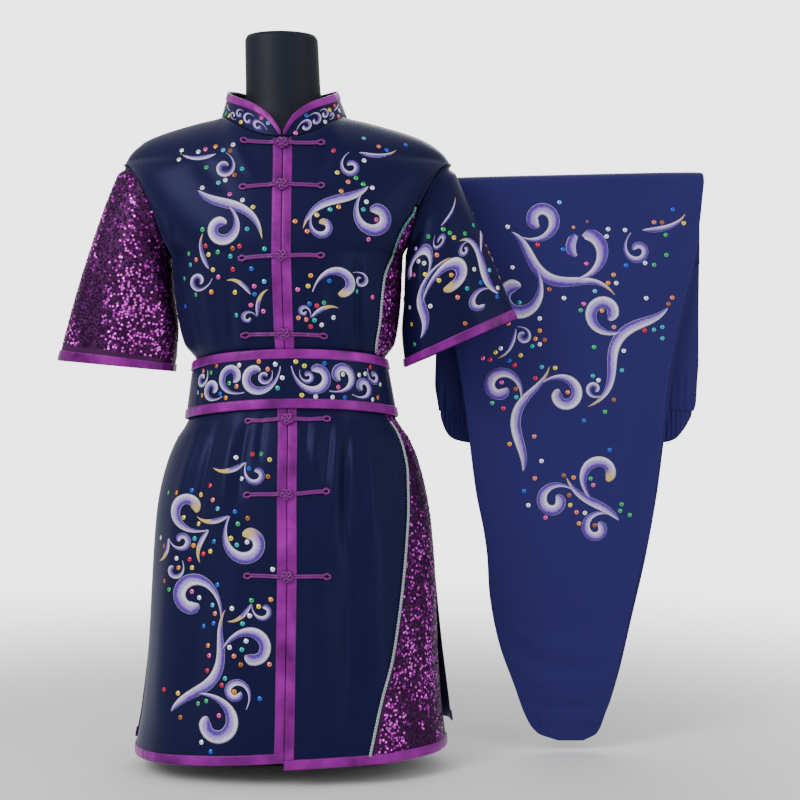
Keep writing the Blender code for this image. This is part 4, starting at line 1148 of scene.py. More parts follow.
def leg_rings(table, radius, end_height, phase, wall=0.0):
    left, right = table_curve(table, 1), table_curve(table, 2)
    up = np.concatenate([np.linspace(table[0][0], 46.0, 16), np.linspace(46.0, ROD_HEIGHT - 20, 120)[1:]])
    over = np.linspace(0.0, math.pi, 21)
    down = np.linspace(ROD_HEIGHT - 8, end_height, 14)
    lows = np.concatenate([left(up), np.full(35, float(left(830.0)))])
    highs = np.concatenate([right(up), np.full(35, float(right(830.0)))])
    y = np.concatenate([np.full(len(up), ROD_Y - radius), ROD_Y - radius * np.cos(over),
                        np.full(len(down), ROD_Y + radius)])
    z = np.concatenate([up, ROD_HEIGHT + radius * np.sin(over), down])
    tilt = np.concatenate([np.zeros(len(up)), over, np.full(len(down), math.pi)])
    thick = np.concatenate([LEG_THICKNESS * (0.7 + 0.3 * ease((up - 34.0) / 9.0)),
                            np.full(35, LEG_THICKNESS)])
    rings = hung_rings(lows, highs, y, z, tilt, thick, phase, wall=wall)
    rings[..., 2] += fold_top(rings[..., 0]) * ease((rings[..., 2] - 700.0) / 80.0)
    return rings


def creased(rings, radius):
    """The front of the leg gets its creases; they fade where the cloth rolls over the rod."""
    facing = ease((ROD_Y - radius + 1.0 - rings[..., 1]) / 2.5) * ease((ROD_HEIGHT - 4 - rings[..., 2]) / 20)
    edge = ease(np.minimum(rings[..., 0] - rings[..., 0].min(axis=1, keepdims=True),
                           rings[..., 0].max(axis=1, keepdims=True) - rings[..., 0]) / 16.0)
    rings[..., 1] -= CREASE_GAIN * crease_depth(TROUSER_CREASES, rings[..., 0], rings[..., 2]) * facing * edge
    return rings


def hang(name, outer, inner, node):
    """A closed tube of trouser satin, its UV map taken all round it."""
    made = shell(name, outer, inner, ring=True)
    made.data.materials.append(TROUSER_SATIN)
    declare(made, [node])


LEG_PHASE = np.concatenate([np.linspace(k * 0.5 * math.pi, (k + 1) * 0.5 * math.pi, 27)[:-1]
                            for k in range(4)])
for label, table, radius in (("front", FRONT_LEG, OUTER_RADIUS), ("back", BACK_LEG, INNER_RADIUS)):
    outer = creased(leg_rings(table, radius, 704.0, LEG_PHASE), radius)
    inner = creased(leg_rings(table, radius, 704.0, LEG_PHASE, CLOTH), radius)
    hang(f"satin_leg_{label}", outer, inner, f"trouser_leg_{label}")

seat_y = ROD_Y + OUTER_RADIUS - 1.0
seat_left, seat_right = table_curve(SEAT, 1), table_curve(SEAT, 2)
seat_z = np.linspace(SEAT[0][0], SEAT[-1][0], 60)
seat_thick = 14.0 + (1.0 + 8.0 * np.sin(math.pi * (seat_z - 489.0) / 214.6)) * ease((seat_z - 489.0) / 12.0)
SEAT_PHASE = np.linspace(0.0, 2 * math.pi, 161)[:-1]


def seat_rings(wall):
    rings = hung_rings(seat_left(seat_z), seat_right(seat_z), np.full(60, seat_y), seat_z,
                       np.zeros(60), seat_thick, SEAT_PHASE, wall=wall)
    gather = ease((560.0 - rings[..., 2]) / 70.0)
    rib = np.sin(rings[..., 0] * 2 * math.pi / SEAT_RIB + 1.3 * np.sin(rings[..., 0] * 0.09))
    rings[..., 1] += np.sign(rings[..., 1] - seat_y) * gather * rib * 1.1
    return rings


hang("satin_seat", seat_rings(0.0), seat_rings(CLOTH), "trouser_seat")

# Height, left edge, right edge and thickness; the band's top is tucked into the seat
WAISTBAND = (
    (BAND_FOOT, 262, 528, 5),
    (443.5, 247, 544, 8.5),
    (448, 231, 556, 11),
    (456, 222, 564, 12.2),
    (470, 215.5, 573.5, 12.8),
    (484, 212, 580, 12.6),
    (BAND_TOP, 212, 581.5, 11.4),
)
band_left, band_right, band_thick = (table_curve(WAISTBAND, k) for k in (1, 2, 3))
band_z = np.concatenate([np.linspace(BAND_FOOT, 447.0, 8), np.linspace(447.0, BAND_TOP, 34)[1:]])
BAND_PHASE = np.linspace(0.0, 2 * math.pi, 481)[:-1]


def band_rings(wall):
    rings = hung_rings(band_left(band_z), band_right(band_z), np.full(len(band_z), seat_y), band_z,
                       np.zeros(len(band_z)), band_thick(band_z), BAND_PHASE, wall=wall)
    rib = np.sin(rings[..., 0] * 2 * math.pi / BAND_RIB + 1.6 * np.sin(rings[..., 0] * 0.05))
    up = rings[..., 2]
    rows = 0.5 * np.abs(np.sin(math.pi * (up - 446.0) / BAND_ROW)) * ease((486.0 - up) / 8.0)
    rings[..., 1] += np.sign(rings[..., 1] - seat_y) * (0.75 * rib * ease((492.0 - up) / 6.0) + rows)
    return rings


hang("satin_waistband", band_rings(0.0), band_rings(CLOTH), "trouser_waistband")

# %% [markdown]
# ## The dress form and the stand
# Only the form's neck shows: a smooth black column with a flat top. It is lofted again with many
# more sides than its solid. The plate, pole and arm keep their solids and get black lacquer.

# %% Dress form and stand
FORM = (
    (330.0, 158.0, 104.0, 112.0),
    (370.0, 160.0, 106.0, 114.0),
    (415.0, 155.0, 105.0, 111.0),
    (452.0, 148.0, 102.0, 105.0),
    (487.0, 136.0, 97.0, 97.5),
    (520.0, 132.5, 95.5, 95.5),
    (560.0, 128.3, 93.3, 92.8),
    (583.0, 137.0, 97.0, 92.5),
    (611.0, 145.0, 104.0, 95.0),
    (652.0, 150.0, 109.0, 98.0),
    (705.0, 154.0, 112.0, 100.0),
    (740.0, 161.0, 107.0, 100.0),
    (770.0, 171.0, 100.0, 97.0),
    (800.0, 184.0, 88.0, 89.0),
    (822.0, 192.0, 77.0, 80.0),
    (838.0, 192.0, 68.0, 72.0),
    (850.0, 184.0, 62.0, 66.0),
    (862.0, 163.0, 58.0, 61.0),
    (872.0, 134.0, 55.0, 57.0),
    (882.0, 102.0, 51.0, 52.0),
    (891.0, 76.0, 46.0, 47.0),
    (902.0, 59.0, 42.5, 43.0),
    (920.0, 53.5, 40.5, 41.0),
    (950.0, 52.0, 40.0, 40.0),
    (1007.0, 51.0, 40.0, 40.0),
    (1013.0, 48.5, 37.5, 37.5),
)
form_half, form_front, form_back = (table_curve(FORM, k) for k in (1, 2, 3))
form_z = np.concatenate([np.linspace(330, 838, 60), np.linspace(838, 920, 36)[1:],
                         np.linspace(920, 1007, 16)[1:],
                         np.linspace(1007, 1013, 8)[1:]])
form_angle = np.linspace(0.0, 2 * math.pi, 129)[:-1]
share = np.sin(form_angle)[None, :]
front = np.cos(form_angle)[None, :] > 0
height = form_z[:, None]
reach = np.where(height < 880, oval(share, FABRIC_SQUARENESS), np.abs(np.cos(form_angle))[None, :])
depth = np.where(front, -form_front(height), form_back(height))
form_rings = places(centre_x(height) + form_half(height) * share, depth * reach, height)
points = form_rings.reshape(-1, 3)
faces = grid_faces(len(form_z), 128, 0, ring=True, flip=False).tolist()
middle_low, middle_top = len(points), len(points) + 1
points = np.concatenate([points, [form_rings[0].mean(axis=0)], [form_rings[-1].mean(axis=0)]])
for k in range(128):
    faces.append((k, middle_low, (k + 1) % 128))
    last = (len(form_z) - 1) * 128
    faces.append((last + k, last + (k + 1) % 128, middle_top))
made = add_mesh("form", points, faces)
made.data.materials.append(FORM_BLACK)
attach(made, "root")
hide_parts("dress_form")
for label in ("stand_base", "stand_flange", "stand_pole", "trouser_arm"):
    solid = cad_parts[label]
    solid.data.materials.clear()
    solid.data.materials.append(STAND_BLACK)
print("form and stand finished")

# %% [markdown]
# ## Trees that follow a line or fill a surface
# Cord, stitches and sequins repeat or follow something, so Geometry Nodes make them. Two helpers are
# enough: one starts a tree with named inputs, and one puts it on a mesh, sets its inputs by their
# identifiers, takes the finished mesh and throws the modifier away.

# %% Helpers for Geometry Nodes
SOCKETS = {float: "NodeSocketFloat", int: "NodeSocketInt", bpy.types.Material: "NodeSocketMaterial"}


class Grown:
    """A geometry tree with named inputs; its last step realizes and sets the finish."""

    def __init__(self, name, **inputs):
        self.tree = bpy.data.node_groups.new(name, "GeometryNodeTree")
        self.tree.interface.new_socket("Geometry", in_out="INPUT", socket_type="NodeSocketGeometry")
        self.tree.interface.new_socket("Geometry", in_out="OUTPUT", socket_type="NodeSocketGeometry")
        for label, value in {**inputs, "Finish": None}.items():
            made = self.tree.interface.new_socket(label.replace("_", " "), in_out="INPUT",
                                                  socket_type=SOCKETS.get(type(value), "NodeSocketMaterial"))
            if value is not None:
                made.default_value = value
        self.given = self.tree.nodes.new("NodeGroupInput").outputs

    def node(self, kind, settings=None, values=None, output=0):
        made = self.tree.nodes.new(kind)
        for key, value in (settings or {}).items():
            setattr(made, key, value)
        for key, value in (values or {}).items():
            if isinstance(value, bpy.types.NodeSocket):
                self.tree.links.new(value, made.inputs[key])
            else:
                made.inputs[key].default_value = value
        return made.outputs[output]

    def finish(self, geometry):
        whole = self.node("GeometryNodeRealizeInstances", None, {0: geometry})
        made = self.node("GeometryNodeSetMaterial", None,
                         {"Geometry": whole, "Material": self.given["Finish"]})
        self.tree.links.new(made, self.tree.nodes.new("NodeGroupOutput").inputs[0])

    def grow(self, name, seed, **inputs):
        """Run the tree on the seed mesh's object and return the result as a new plain object."""
        modifier = seed.modifiers.new("grow", "NODES")
        modifier.node_group = self.tree
        named = {item.name: item.identifier for item in self.tree.interface.items_tree
                 if item.in_out == "INPUT"}
        for label, value in inputs.items():
            modifier[named[label.replace("_", " ")]] = value
        mesh = bpy.data.meshes.new_from_object(seed.evaluated_get(bpy.context.evaluated_depsgraph_get()))
        seed.modifiers.remove(modifier)
        bpy.data.objects.remove(seed)
        mesh.name = name
        made = bpy.data.objects.new(name, mesh)
        bpy.context.scene.collection.objects.link(made)
        return made


def thread_lines(lines, closed=False, attributes=None):
    """A mesh of bare polylines, the seed for cords and stitches."""
    points, edges, start = np.concatenate(lines), [], 0
    for line in lines:
        edges += [(start + k, start + k + 1) for k in range(len(line) - 1)]
        if closed:
            edges.append((start + len(line) - 1, start))
        start += len(line)
    mesh = bpy.data.meshes.new("lines")
    mesh.from_pydata((points * MM).tolist(), edges, [])
    store(mesh, attributes)
    made = bpy.data.objects.new("lines", mesh)
    bpy.context.scene.collection.objects.link(made)
    return made


cord_tree = Grown("cord along its line", Cord_radius=0.0012, Sides=10)
line = cord_tree.node("GeometryNodeMeshToCurve", None, {"Mesh": cord_tree.given["Geometry"]})
section = cord_tree.node("GeometryNodeCurvePrimitiveCircle", None,
                         {"Resolution": cord_tree.given["Sides"], "Radius": cord_tree.given["Cord radius"]})
tube = cord_tree.node("GeometryNodeCurveToMesh", None,
                      {"Curve": line, "Profile Curve": section, "Fill Caps": True})
cord_tree.finish(cord_tree.node("GeometryNodeSetShadeSmooth", None, {"Geometry": tube}))
print("inputs of the cord tree:", [item.name for item in cord_tree.tree.interface.items_tree])

# %% [markdown]
# ## Frogs
# A frog is a button knot between two straps of rolled satin cord. The knot is a cord woven over and
# under itself in five loops, so a rosette with a hole in its middle, drawn tight over a small core.
# Each strap is one cord that runs out, turns in a small flared loop and comes back beside itself.

# %% Knots and straps
FROG_COLUMNS = ("height", "right_rise", "left_rise")
FROGS = (
    (849.0, 4.0, 1.0),
    (791.0, -3.0, -1.0),
    (696.0, -3.0, 1.0),
    (594.0, -2.0, -3.0),
    (479.0, -3.0, 0.0),
    (381.0, -1.0, 4.0),
    (274.0, 1.0, 0.0),
)
KNOT_REACH, STRAP_LENGTH, CORD_RADIUS = 9.0, 47.0, 1.5


def on_front(x, height, lift):
    return torso(-1, (x - centre_x(height)) / edge_x(height), height, CLOTH + lift)


def knot_line(middle):
    """Two turns with five loops: a rosette that crosses over and under where it meets itself."""
    t = np.linspace(0.0, 2 * math.pi, 181)[:-1]
    reach = 4.5 + 2.5 * np.sin(5 * t)
    dome = 2.6 * np.sqrt(np.maximum(0.0, 1 - (reach / 8.6) ** 2))
    return middle + np.stack([reach * np.cos(2 * t + 0.3) * 1.02, -2.4 - dome - 1.15 * np.cos(5 * t),
                              reach * np.sin(2 * t + 0.3) * 0.94], -1)


def strap_line(centre, height, side, rise):
    """Out along one side, round the loop at the end and back along the other side."""
    out = np.concatenate([np.linspace(0.0, 0.86, 26),
                          0.86 + 0.14 * np.sin(np.linspace(0.1, 0.5 * math.pi, 9))])
    flare_out = 1.3 + 1.9 * np.sin(math.pi * np.clip((out - 0.84) / 0.16, 0, 1) ** 0.8) ** 1.0
    t = np.concatenate([out, out[-2::-1]])
    off = np.concatenate([flare_out, -flare_out[-2::-1]])
    off[len(out) - 1] = 0.0
    reach = KNOT_REACH * 0.72 + (STRAP_LENGTH + 0.28 * KNOT_REACH) * t
    lift = CORD_RADIUS + 0.15 + (TAPE + 0.5) * (1 - ease((reach - 12.5) / 5.0))
    wobble = 0.5 * np.sin(t * 7.0 + height)
    return on_front(centre + side * reach, height + rise * t + off + wobble * t, lift)


for number, row in enumerate(FROGS, 1):
    frog = dict(zip(FROG_COLUMNS, row))
    height = frog["height"]
    centre = float(centre_x(height))
    middle = on_front(centre + 2.0, height, TAPE + 0.7)
    middle[0] = centre
    made = cord_tree.grow(f"knot_{number}", thread_lines([knot_line(middle)], closed=True),
                          Cord_radius=1.75 * MM,
                          Sides=10, Finish=PURPLE_CORD)
    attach(made, "root")
    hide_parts(f"frog_{number}_knot")
    core = np.linspace(0.0, 2 * math.pi, 17)[:-1]
    rings = [np.stack([5.4 * math.cos(a) * np.cos(core), 0 * core - 2.2 - 3.0 * math.sin(a),
                       5.0 * math.cos(a) * np.sin(core)], -1) for a in np.linspace(-0.9, 1.35, 8)]
    points = np.concatenate([middle + np.concatenate(rings),
                             [middle + (0.0, 0.15, 0.0), middle + (0.0, -5.3, 0.0)]])
    faces = grid_faces(8, 16, ring=True, flip=True).tolist()
    faces += [((k + 1) % 16, k, 128) for k in range(16)] + [(112 + k, 112 + (k + 1) % 16, 129)
                                                            for k in range(16)]
    made = add_mesh(f"knot_core_{number}", points, faces)
    made.data.materials.append(PURPLE_CORD)
    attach(made, "root")
    for side, label in ((-1, "right"), (1, "left")):
        line = strap_line(centre, height, side, frog[f"{label}_rise"])
        made = cord_tree.grow(f"strap_{number}_{label}", thread_lines([line]), Cord_radius=CORD_RADIUS * MM,
                              Sides=8, Finish=PURPLE_CORD)
        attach(made, "root")
        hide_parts(f"frog_{number}_strap_{label}")
print("frogs:", len(FROGS), "knot:", len(made.data.polygons), "faces in a strap")

# %% [markdown]
# ## Braid along the side panel
# A braid of metal thread covers the seam of the sequinned panel. Two strands are twisted round each
# other, so each strand is a line that circles the seam; their tones run from teal to silver.

# %% Braid
BRAID_PITCH = 8.5


def braid_strands(heights):
    seam = [torso(-1, seam_share(heights), heights, CLOTH + lift) for lift in (1.9, 2.9)]
    normal = unit(seam[1] - seam[0])
    run = unit(np.gradient(seam[0], axis=0))
    across = np.cross(run, normal)
    length = running_length(seam[0])
    lines, tones = [], []
    for strand in (0, 1):
        turn = 2 * math.pi * length / BRAID_PITCH + strand * math.pi
        lines.append(seam[0] + across * (1.2 * np.cos(turn))[:, None]
                     + normal * (0.62 * np.sin(turn))[:, None])
        tones.append(np.clip((heights - 640.0) / 90.0, 0.0, 1.0) * 0.8 + 0.22 * strand)
    return lines, np.concatenate(tones)


for label, low, high in (("skirt", 38.5, 474.0), ("bodice", 572.0, 767.0)):
    lines, tones = braid_strands(np.arange(low, high, 0.7))
    seed = thread_lines(lines, attributes={"teal": ("FLOAT", tones)})
    made = cord_tree.grow(f"braid_{label}", seed, Cord_radius=1.05 * MM, Sides=8, Finish=METAL_THREAD)
    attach(made, "root")
    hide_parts(f"side_braid_{label}")
    print(made.name, "faces:", len(made.data.polygons))

# %% [markdown]
# ## Stitches beside the bindings
# A binding is sewn down with small even stitches just inside its free edge. A stitch is a short
# grain of thread, and a tree lays one every few millimetres along a line on the cloth.

# %% Stitches
stitch_tree = Grown("stitches along a line", Stitch_spacing=0.0042, Stitch_length=0.0026, Thread=0.00034)
line = stitch_tree.node("GeometryNodeMeshToCurve", None, {"Mesh": stitch_tree.given["Geometry"]})
even = stitch_tree.node("GeometryNodeResampleCurve", {"mode": "LENGTH"},
                        {"Curve": line, "Length": stitch_tree.given["Stitch spacing"]})
heading = stitch_tree.node("GeometryNodeInputTangent")
turned = stitch_tree.node("FunctionNodeAlignRotationToVector", {"axis": "Z"}, {"Vector": heading})
grain = stitch_tree.node("GeometryNodeMeshCylinder", None,
                         {"Vertices": 6, "Radius": stitch_tree.given["Thread"],
                          "Depth": stitch_tree.given["Stitch length"]})
laid = stitch_tree.node("GeometryNodeInstanceOnPoints", None,
                        {"Points": even, "Instance": grain, "Rotation": turned})
stitch_tree.finish(laid)


def sew(name, lines, spacing=4.2, length=2.6):
    made = stitch_tree.grow(name, thread_lines(lines), Stitch_spacing=spacing * MM, Stitch_length=length * MM,
                            Finish=PURPLE_STITCH)
    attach(made, "root")
    return len(made.data.polygons) // 8


stitches = 0
for side, sign in (("right", -1.0), ("left", 1.0)):
    line = torso(-1, sign * (TAPE_WIDTH - 1.2) / edge_x(placket_height), placket_height,
                 TAPE_LIFT + TAPE * 0.95)
    stitches += sew(f"stitches_placket_{side}", [line])
for label, (face, first, last) in hem_lines.items():
    share = np.sin(np.linspace(math.asin(first), math.asin(last), 160))
    line = torso(face, share, hem_height(face, share) + TAPE_WIDTH - 1.3, TAPE_LIFT + TAPE * 0.93)
    stitches += sew(f"stitches_hem_{label}", [line])
for side, table, flutes in (("right", RIGHT_SLEEVE, RIGHT_FLUTES), ("left", LEFT_SLEEVE, LEFT_FLUTES)):
    length = length_of_sleeve(table, flutes)
    line = sleeve_skin(table, flutes, 1.0 - (TAPE_WIDTH - 1.4) / length, np.linspace(0.0, 2 * math.pi, 200),
                       0.5 + TAPE)
    stitches += sew(f"stitches_cuff_{side}", [line])
rims = [belt_point(belt_angle, up, BELT_LIFT + BELT_WALL + 0.5 + TAPE * 0.95)
        for up in (TAPE_WIDTH - 1.3, BELT_HEIGHT - TAPE_WIDTH + 1.3)]
stitches += sew("stitches_belt", rims)
print("stitches:", stitches)

# %% [markdown]
# ## Embroidery
# Satin-stitch scrollwork in violet, lavender and white covers the chest, the right front of the
# skirt, the belt, the collar, the left sleeve and the trousers, in vines and curled clouds. One scroll is a strip along
# a curve that tightens towards its end, thin at its root and round at its tip, raised like a cord
# under its threads. It is drawn in flat millimetres and then laid on the cloth it belongs to.

# %% One scroll of thread
ACROSS = np.array([-1.0, -0.72, 0.0, 0.72, 1.0])
RAISED = np.array([-0.1, 0.72, 1.0, 0.72, -0.1])


class Embroidery:
    """Scrolls that are collected in the flat for one stretch of cloth, and its sequins' places."""

    def __init__(self, cloth, inside, seed):
        self.cloth, self.inside, self.draw = cloth, inside, np.random.default_rng(seed)
        self.points, self.faces, self.uvs, self.traits, self.count = [], [], [], [], 0
        self.lines, self.taken = [], []

    def lay(self, x, z, angle, length, width, round_tip, gold, root=0.2):
        """Lay a strip along a heading that varies from start to end, unless it would cross another."""
        s = np.linspace(0.0, 1.0, len(angle))
        step = length / (len(angle) - 1)
        path = np.stack([x + np.cumsum(np.cos(angle)) * step, z + np.cumsum(np.sin(angle)) * step], -1)
        if round_tip:
            half = 0.5 * width * (0.16 + 0.84 * ease(s / 0.6)) * np.sqrt(np.clip((1.0 - s) / 0.08, 0.0, 1.0))
        else:
            half = 0.5 * width * np.sin(math.pi * s**0.75) ** 0.8
        half = np.maximum(half, 0.06)
        side = np.stack([-np.sin(angle), np.cos(angle)], -1)
        strip = path[:, None] + side[:, None] * (half[:, None] * ACROSS)[..., None]
        if not np.all(self.inside(strip[..., 0], strip[..., 1])):
            return False
        here = np.concatenate([path, half[:, None]], axis=1)
        if self.lines:
            there, free = np.concatenate(self.lines), here[int(root * len(here)):]
            apart = np.linalg.norm(free[:, None, :2] - there[None, :, :2],
                                   axis=2) - there[None, :, 2] - free[:, None, 2]
            if np.mean(apart.min(axis=1) < 0.8) > 0.03:
                return False
        self.lines.append(here)
        rise = np.minimum(1.0, half[:, None] / 2.0) * RAISED * 0.95 + self.draw.uniform(0.0, 0.18)
        self.points.append(self.cloth(strip[..., 0], strip[..., 1], rise).reshape(-1, 3))
        rows, start = len(path), self.count
        self.faces += grid_faces(rows, 5, start, ring=True, flip=True).tolist()
        self.faces += [tuple(range(start, start + 5)),
                       tuple(range(start + 5 * rows - 1, start + 5 * rows - 6, -1))]
        self.uvs.append(np.stack([half[:, None] * ACROSS, (s * length)[:, None] + 0 * ACROSS],
                                 -1).reshape(-1, 2))
        self.traits.append(np.stack([ACROSS + 0 * half[:, None], s[:, None] + 0 * ACROSS,
                                     np.full((rows, 5), gold)], -1).reshape(-1, 3))
        self.count += 5 * rows
        return True

    def scroll(self, x, z, heading, length, turn, width, round_tip=1, gold=0.0):
        """A curl: its heading turns by so many degrees, faster towards the tip."""
        s = np.linspace(0.0, 1.0, max(9, int(length / 1.8)))
        return self.lay(x, z, np.radians(heading + turn * (0.3 * s + 0.7 * s**2.2)), length, width,
                        round_tip, gold)

    def sprout(self, x, z, way, side, length, width):
        """The largest curl that finds room, after a few tries."""
        for size in (1.15, 1.0, 0.85, 0.7, 0.55, 0.42):
            turn = side * self.draw.uniform(250, 380)
            if self.scroll(x, z, way + side * self.draw.uniform(-4, 22), length * size, turn, width * size,
                           gold=self.draw.choice([0.0, 0.0, 0.14])):
                return

    def vine(self, x, z, heading, length, bend, width):
        """A waving stem with a gold point that throws curls to both sides and pointed leaves between."""
        s = np.linspace(0.0, 1.0, int(length / 2.0))
        angle = np.radians(heading + bend * np.sin(2 * math.pi * s * length / 170.0))
        if not self.lay(x, z, angle, length, 0.95 * width, 0, 0.12):
            print("no room for a stem at", x, z)
        path = np.stack([x + np.cumsum(np.cos(angle)) * 2.0, z + np.cumsum(np.sin(angle)) * 2.0], -1)
        side, k = 1, 4
        while k < len(s) - 4:
            (px, pz), way = path[k], math.degrees(angle[k])
            self.sprout(px, pz, way, side, 8.0 * width, width)
            self.scroll(px, pz, way - side * 24, 3.4 * width, -side * 70, 0.5 * width, 0, 0.5)
            side = -side
            k += int(self.draw.uniform(1.1, 1.7) * width)

    def cloud(self, x, z, heading, size, side=1):
        """Three curled lobes on one base with two trailing tails, as embroiderers draw a cloud."""
        base = np.array([math.cos(math.radians(heading)), math.sin(math.radians(heading))])
        for along, grown, start in ((0.42, 1.3, 40), (0.0, 1.0, 64), (0.95, 0.9, 10)):
            px, pz = np.array([x, z]) + base * along * size
            self.scroll(px, pz, heading + side * start, 2.3 * size * grown, side * 390, 0.3 * size)
        self.scroll(x, z, heading + 180 - side * 12, 2.2 * size, side * 60, 0.26 * size, 0, 0.2)
        self.scroll(x, z, heading + 180 + side * 22, 1.4 * size, -side * 50, 0.2 * size, 0, 0.5)

    def scatter(self, number, spread):
        """Loose sequins around the scrolls, none closer than 9 mm to another or on a scroll's middle."""
        anchors = np.concatenate(self.lines)
        for _ in range(number * 14):
            near = anchors[self.draw.integers(len(anchors)), :2] + self.draw.normal(0.0, spread, 2)
            apart = np.linalg.norm(anchors[:, :2] - near, axis=1) - anchors[:, 2]
            crowded = self.taken and np.min(np.linalg.norm(np.array(self.taken) - near, axis=1)) < 9.0
            fits = self.inside(near[0], near[1]) and apart.min() > 3.4 and not crowded
            if len(self.taken) < number and fits:
                self.taken.append(near)

    def sew(self, name, slot):
        traits = np.concatenate(self.traits)
        made = add_mesh(name, np.concatenate(self.points), self.faces, np.concatenate(self.uvs) * MM,
                        {"across": ("FLOAT", traits[:, 0]), "along": ("FLOAT", traits[:, 1]),
                         "gold": ("FLOAT", traits[:, 2])})
        made.data.materials.append(SCROLL_THREAD)
        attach(made, "root")
        print(name, "scrolls:", len(self.lines), "faces:", len(made.data.polygons))


# %% [markdown]
# ## Thread of the scrolls
# Satin stitch runs across a scroll, so the threads' ridges read across it. Its colour shades from
# violet on one side through lavender to white on the other, inside a thin pale line of couched
# thread. Some tips are gold.

# %% Scroll thread
def scroll_thread():
    made = Finish("scroll thread", Roughness=0.42, Specular_IOR_Level=0.22)
    across, along, gold = (made.attribute(name) for name in ("across", "along", "gold"))
    threads = made.noise(made.stretched(made.cloth_map(), (1 / 0.008, 1 / 0.0005, 1.0)), 1.0, 1.0)
    cloud = made.noise(made.place(), 30.0, 2.0)
    violet = made.mix(threads, (0.040, 0.008, 0.22), (0.115, 0.030, 0.44))
    lavender = made.mix(threads, (0.25, 0.16, 0.50), (0.42, 0.32, 0.66))
    white = made.mix(threads, (0.52, 0.48, 0.66), (0.78, 0.76, 0.86))
    shade = 0.5 + 0.5 * across + 0.34 * (threads - 0.5) + 0.5 * (cloud - 0.5)
    colour = made.mix(shade.span(0.22, 0.52), violet, lavender)
    colour = made.mix(shade.span(0.58, 0.86), colour, white)
    leaf = made.mix(threads, (0.40, 0.25, 0.04), (0.74, 0.58, 0.20))
    colour = made.mix((along + gold).span(0.94, 1.10), colour, leaf)
    colour = made.mix((across * across).span(0.72, 0.9), colour, (0.60, 0.60, 0.70))
    made.feed("Base Color", colour)
    made.feed("Roughness", 0.34 + 0.18 * threads)
    made.bump(threads, 0.5, 0.0003)
    return made.material


SCROLL_THREAD = scroll_thread()

# %% [markdown]
# ## Where the embroidery lies
# Each stretch of cloth has its own flat drawing board: the panels by height and distance across, the
# sleeve and the belt by millimetres round and up them. A short table places vines and clouds on each.

# %% Drawing boards
def clear_of_frogs(x, z):
    near = np.abs(x - centre_x(z)) < 64.0
    return ~np.any([near & (np.abs(z - row[0]) < 7.0) for row in FROGS], axis=0)


def in_front_panel(side, low, high):
    def inside(x, z):
        off = (x - centre_x(z)) * side
        seam = np.where(z < 770.0, seam_share(z) * edge_x(z) - 9.0, edge_x(z) - 24.0)
        limit = seam if side > 0 else 0.94 * edge_x(z) - 4.0
        top = np.minimum(high, shoulder_height(np.abs(off)) - 16.0)
        return (off > 17.0) & (off < limit) & (z > low) & (z < top) & clear_of_frogs(x, z)
    return inside


def leg_face(x, z, lift):
    """Front face of the folded leg, with its creases."""
    left, right = table_curve(FRONT_LEG, 1)(z), table_curve(FRONT_LEG, 2)(z)
    off = np.clip(np.abs(2 * (x - left) / (right - left) - 1), 0.0, 1.0)
    bow = 0.5 * LEG_THICKNESS * (1 - off**4.444) ** 0.3
    crease = CREASE_GAIN * crease_depth(TROUSER_CREASES, x, z) * ease(np.minimum(x - left, right - x) / 16.0)
    return places(x, ROD_Y - OUTER_RADIUS - bow - crease - lift, z)


def in_leg(x, z):
    left, right = table_curve(FRONT_LEG, 1)(z), table_curve(FRONT_LEG, 2)(z)
    return (x > np.maximum(left + 16.0, 255.0)) & (x < right - 16.0) & (z > 300.0) & (z < 790.0)


SLEEVE_LENGTH, SLEEVE_ROUND = 195.0, 52.0


def left_sleeve_cloth(u, v, lift):
    return sleeve_skin(LEFT_SLEEVE, LEFT_FLUTES, 1.0 - v / SLEEVE_LENGTH, 0.5 * math.pi - u / SLEEVE_ROUND,
                       lift)


belt_length = running_length(belt_point(np.linspace(-90.0, 90.0, 400), 40.0, BELT_LIFT + BELT_WALL))
belt_length = belt_length - belt_length[200]


def belt_cloth(u, v, lift):
    angle = np.interp(u, belt_length, np.linspace(-90.0, 90.0, 400))
    return belt_point(angle, v, BELT_LIFT + BELT_WALL + 0.3 + lift)


def collar_cloth(u, v, lift):
    return collar_skin(u / 1.45, v / 42.0, COLLAR_WALL + lift)


# Kind, place across and up, heading, length or size, bend or side, width
CHEST_RIGHT = (("vine", -118, 786, -48, 118, 34, 14), ("vine", -30, 606, 128, 96, -30, 12),
               ("cloud", -92, 836, 8, 24, -1, 0),
               ("cloud", -100, 678, -70, 23, -1, 0), ("cloud", -62, 700, -30, 18, 1, 0))
CHEST_LEFT = (("vine", 112, 792, -132, 110, -34, 13), ("cloud", 96, 838, 176, 24, 1, 0),
              ("vine", 30, 604, 62, 100, 30, 12),
              ("cloud", 84, 668, 60, 17, -1, 0))
SKIRT_RIGHT = (("vine", -44, 432, -128, 150, 30, 14), ("vine", -150, 90, 62, 170, -32, 15),
               ("cloud", -60, 96, 20, 30, 1, 0),
               ("vine", -160, 330, -70, 80, 20, 11), ("vine", -40, 250, -100, 90, 26, 12))
LEG = (("vine", 312, 748, -30, 190, -34, 17), ("vine", 540, 640, -126, 200, -34, 17),
       ("vine", 330, 400, 76, 170, 32, 16),
       ("vine", 470, 330, 128, 100, 26, 13), ("cloud", 500, 750, 190, 32, 1, 0),
       ("cloud", 320, 610, 70, 24, -1, 0))
SLEEVE = (("vine", -40, 26, 40, 120, 62, 12), ("vine", 54, 34, 140, 96, -58, 12),
          ("cloud", 6, 158, 186, 17, 1, 0),
          ("vine", -120, 40, 70, 100, 54, 12), ("vine", 122, 40, 112, 90, -54, 11))
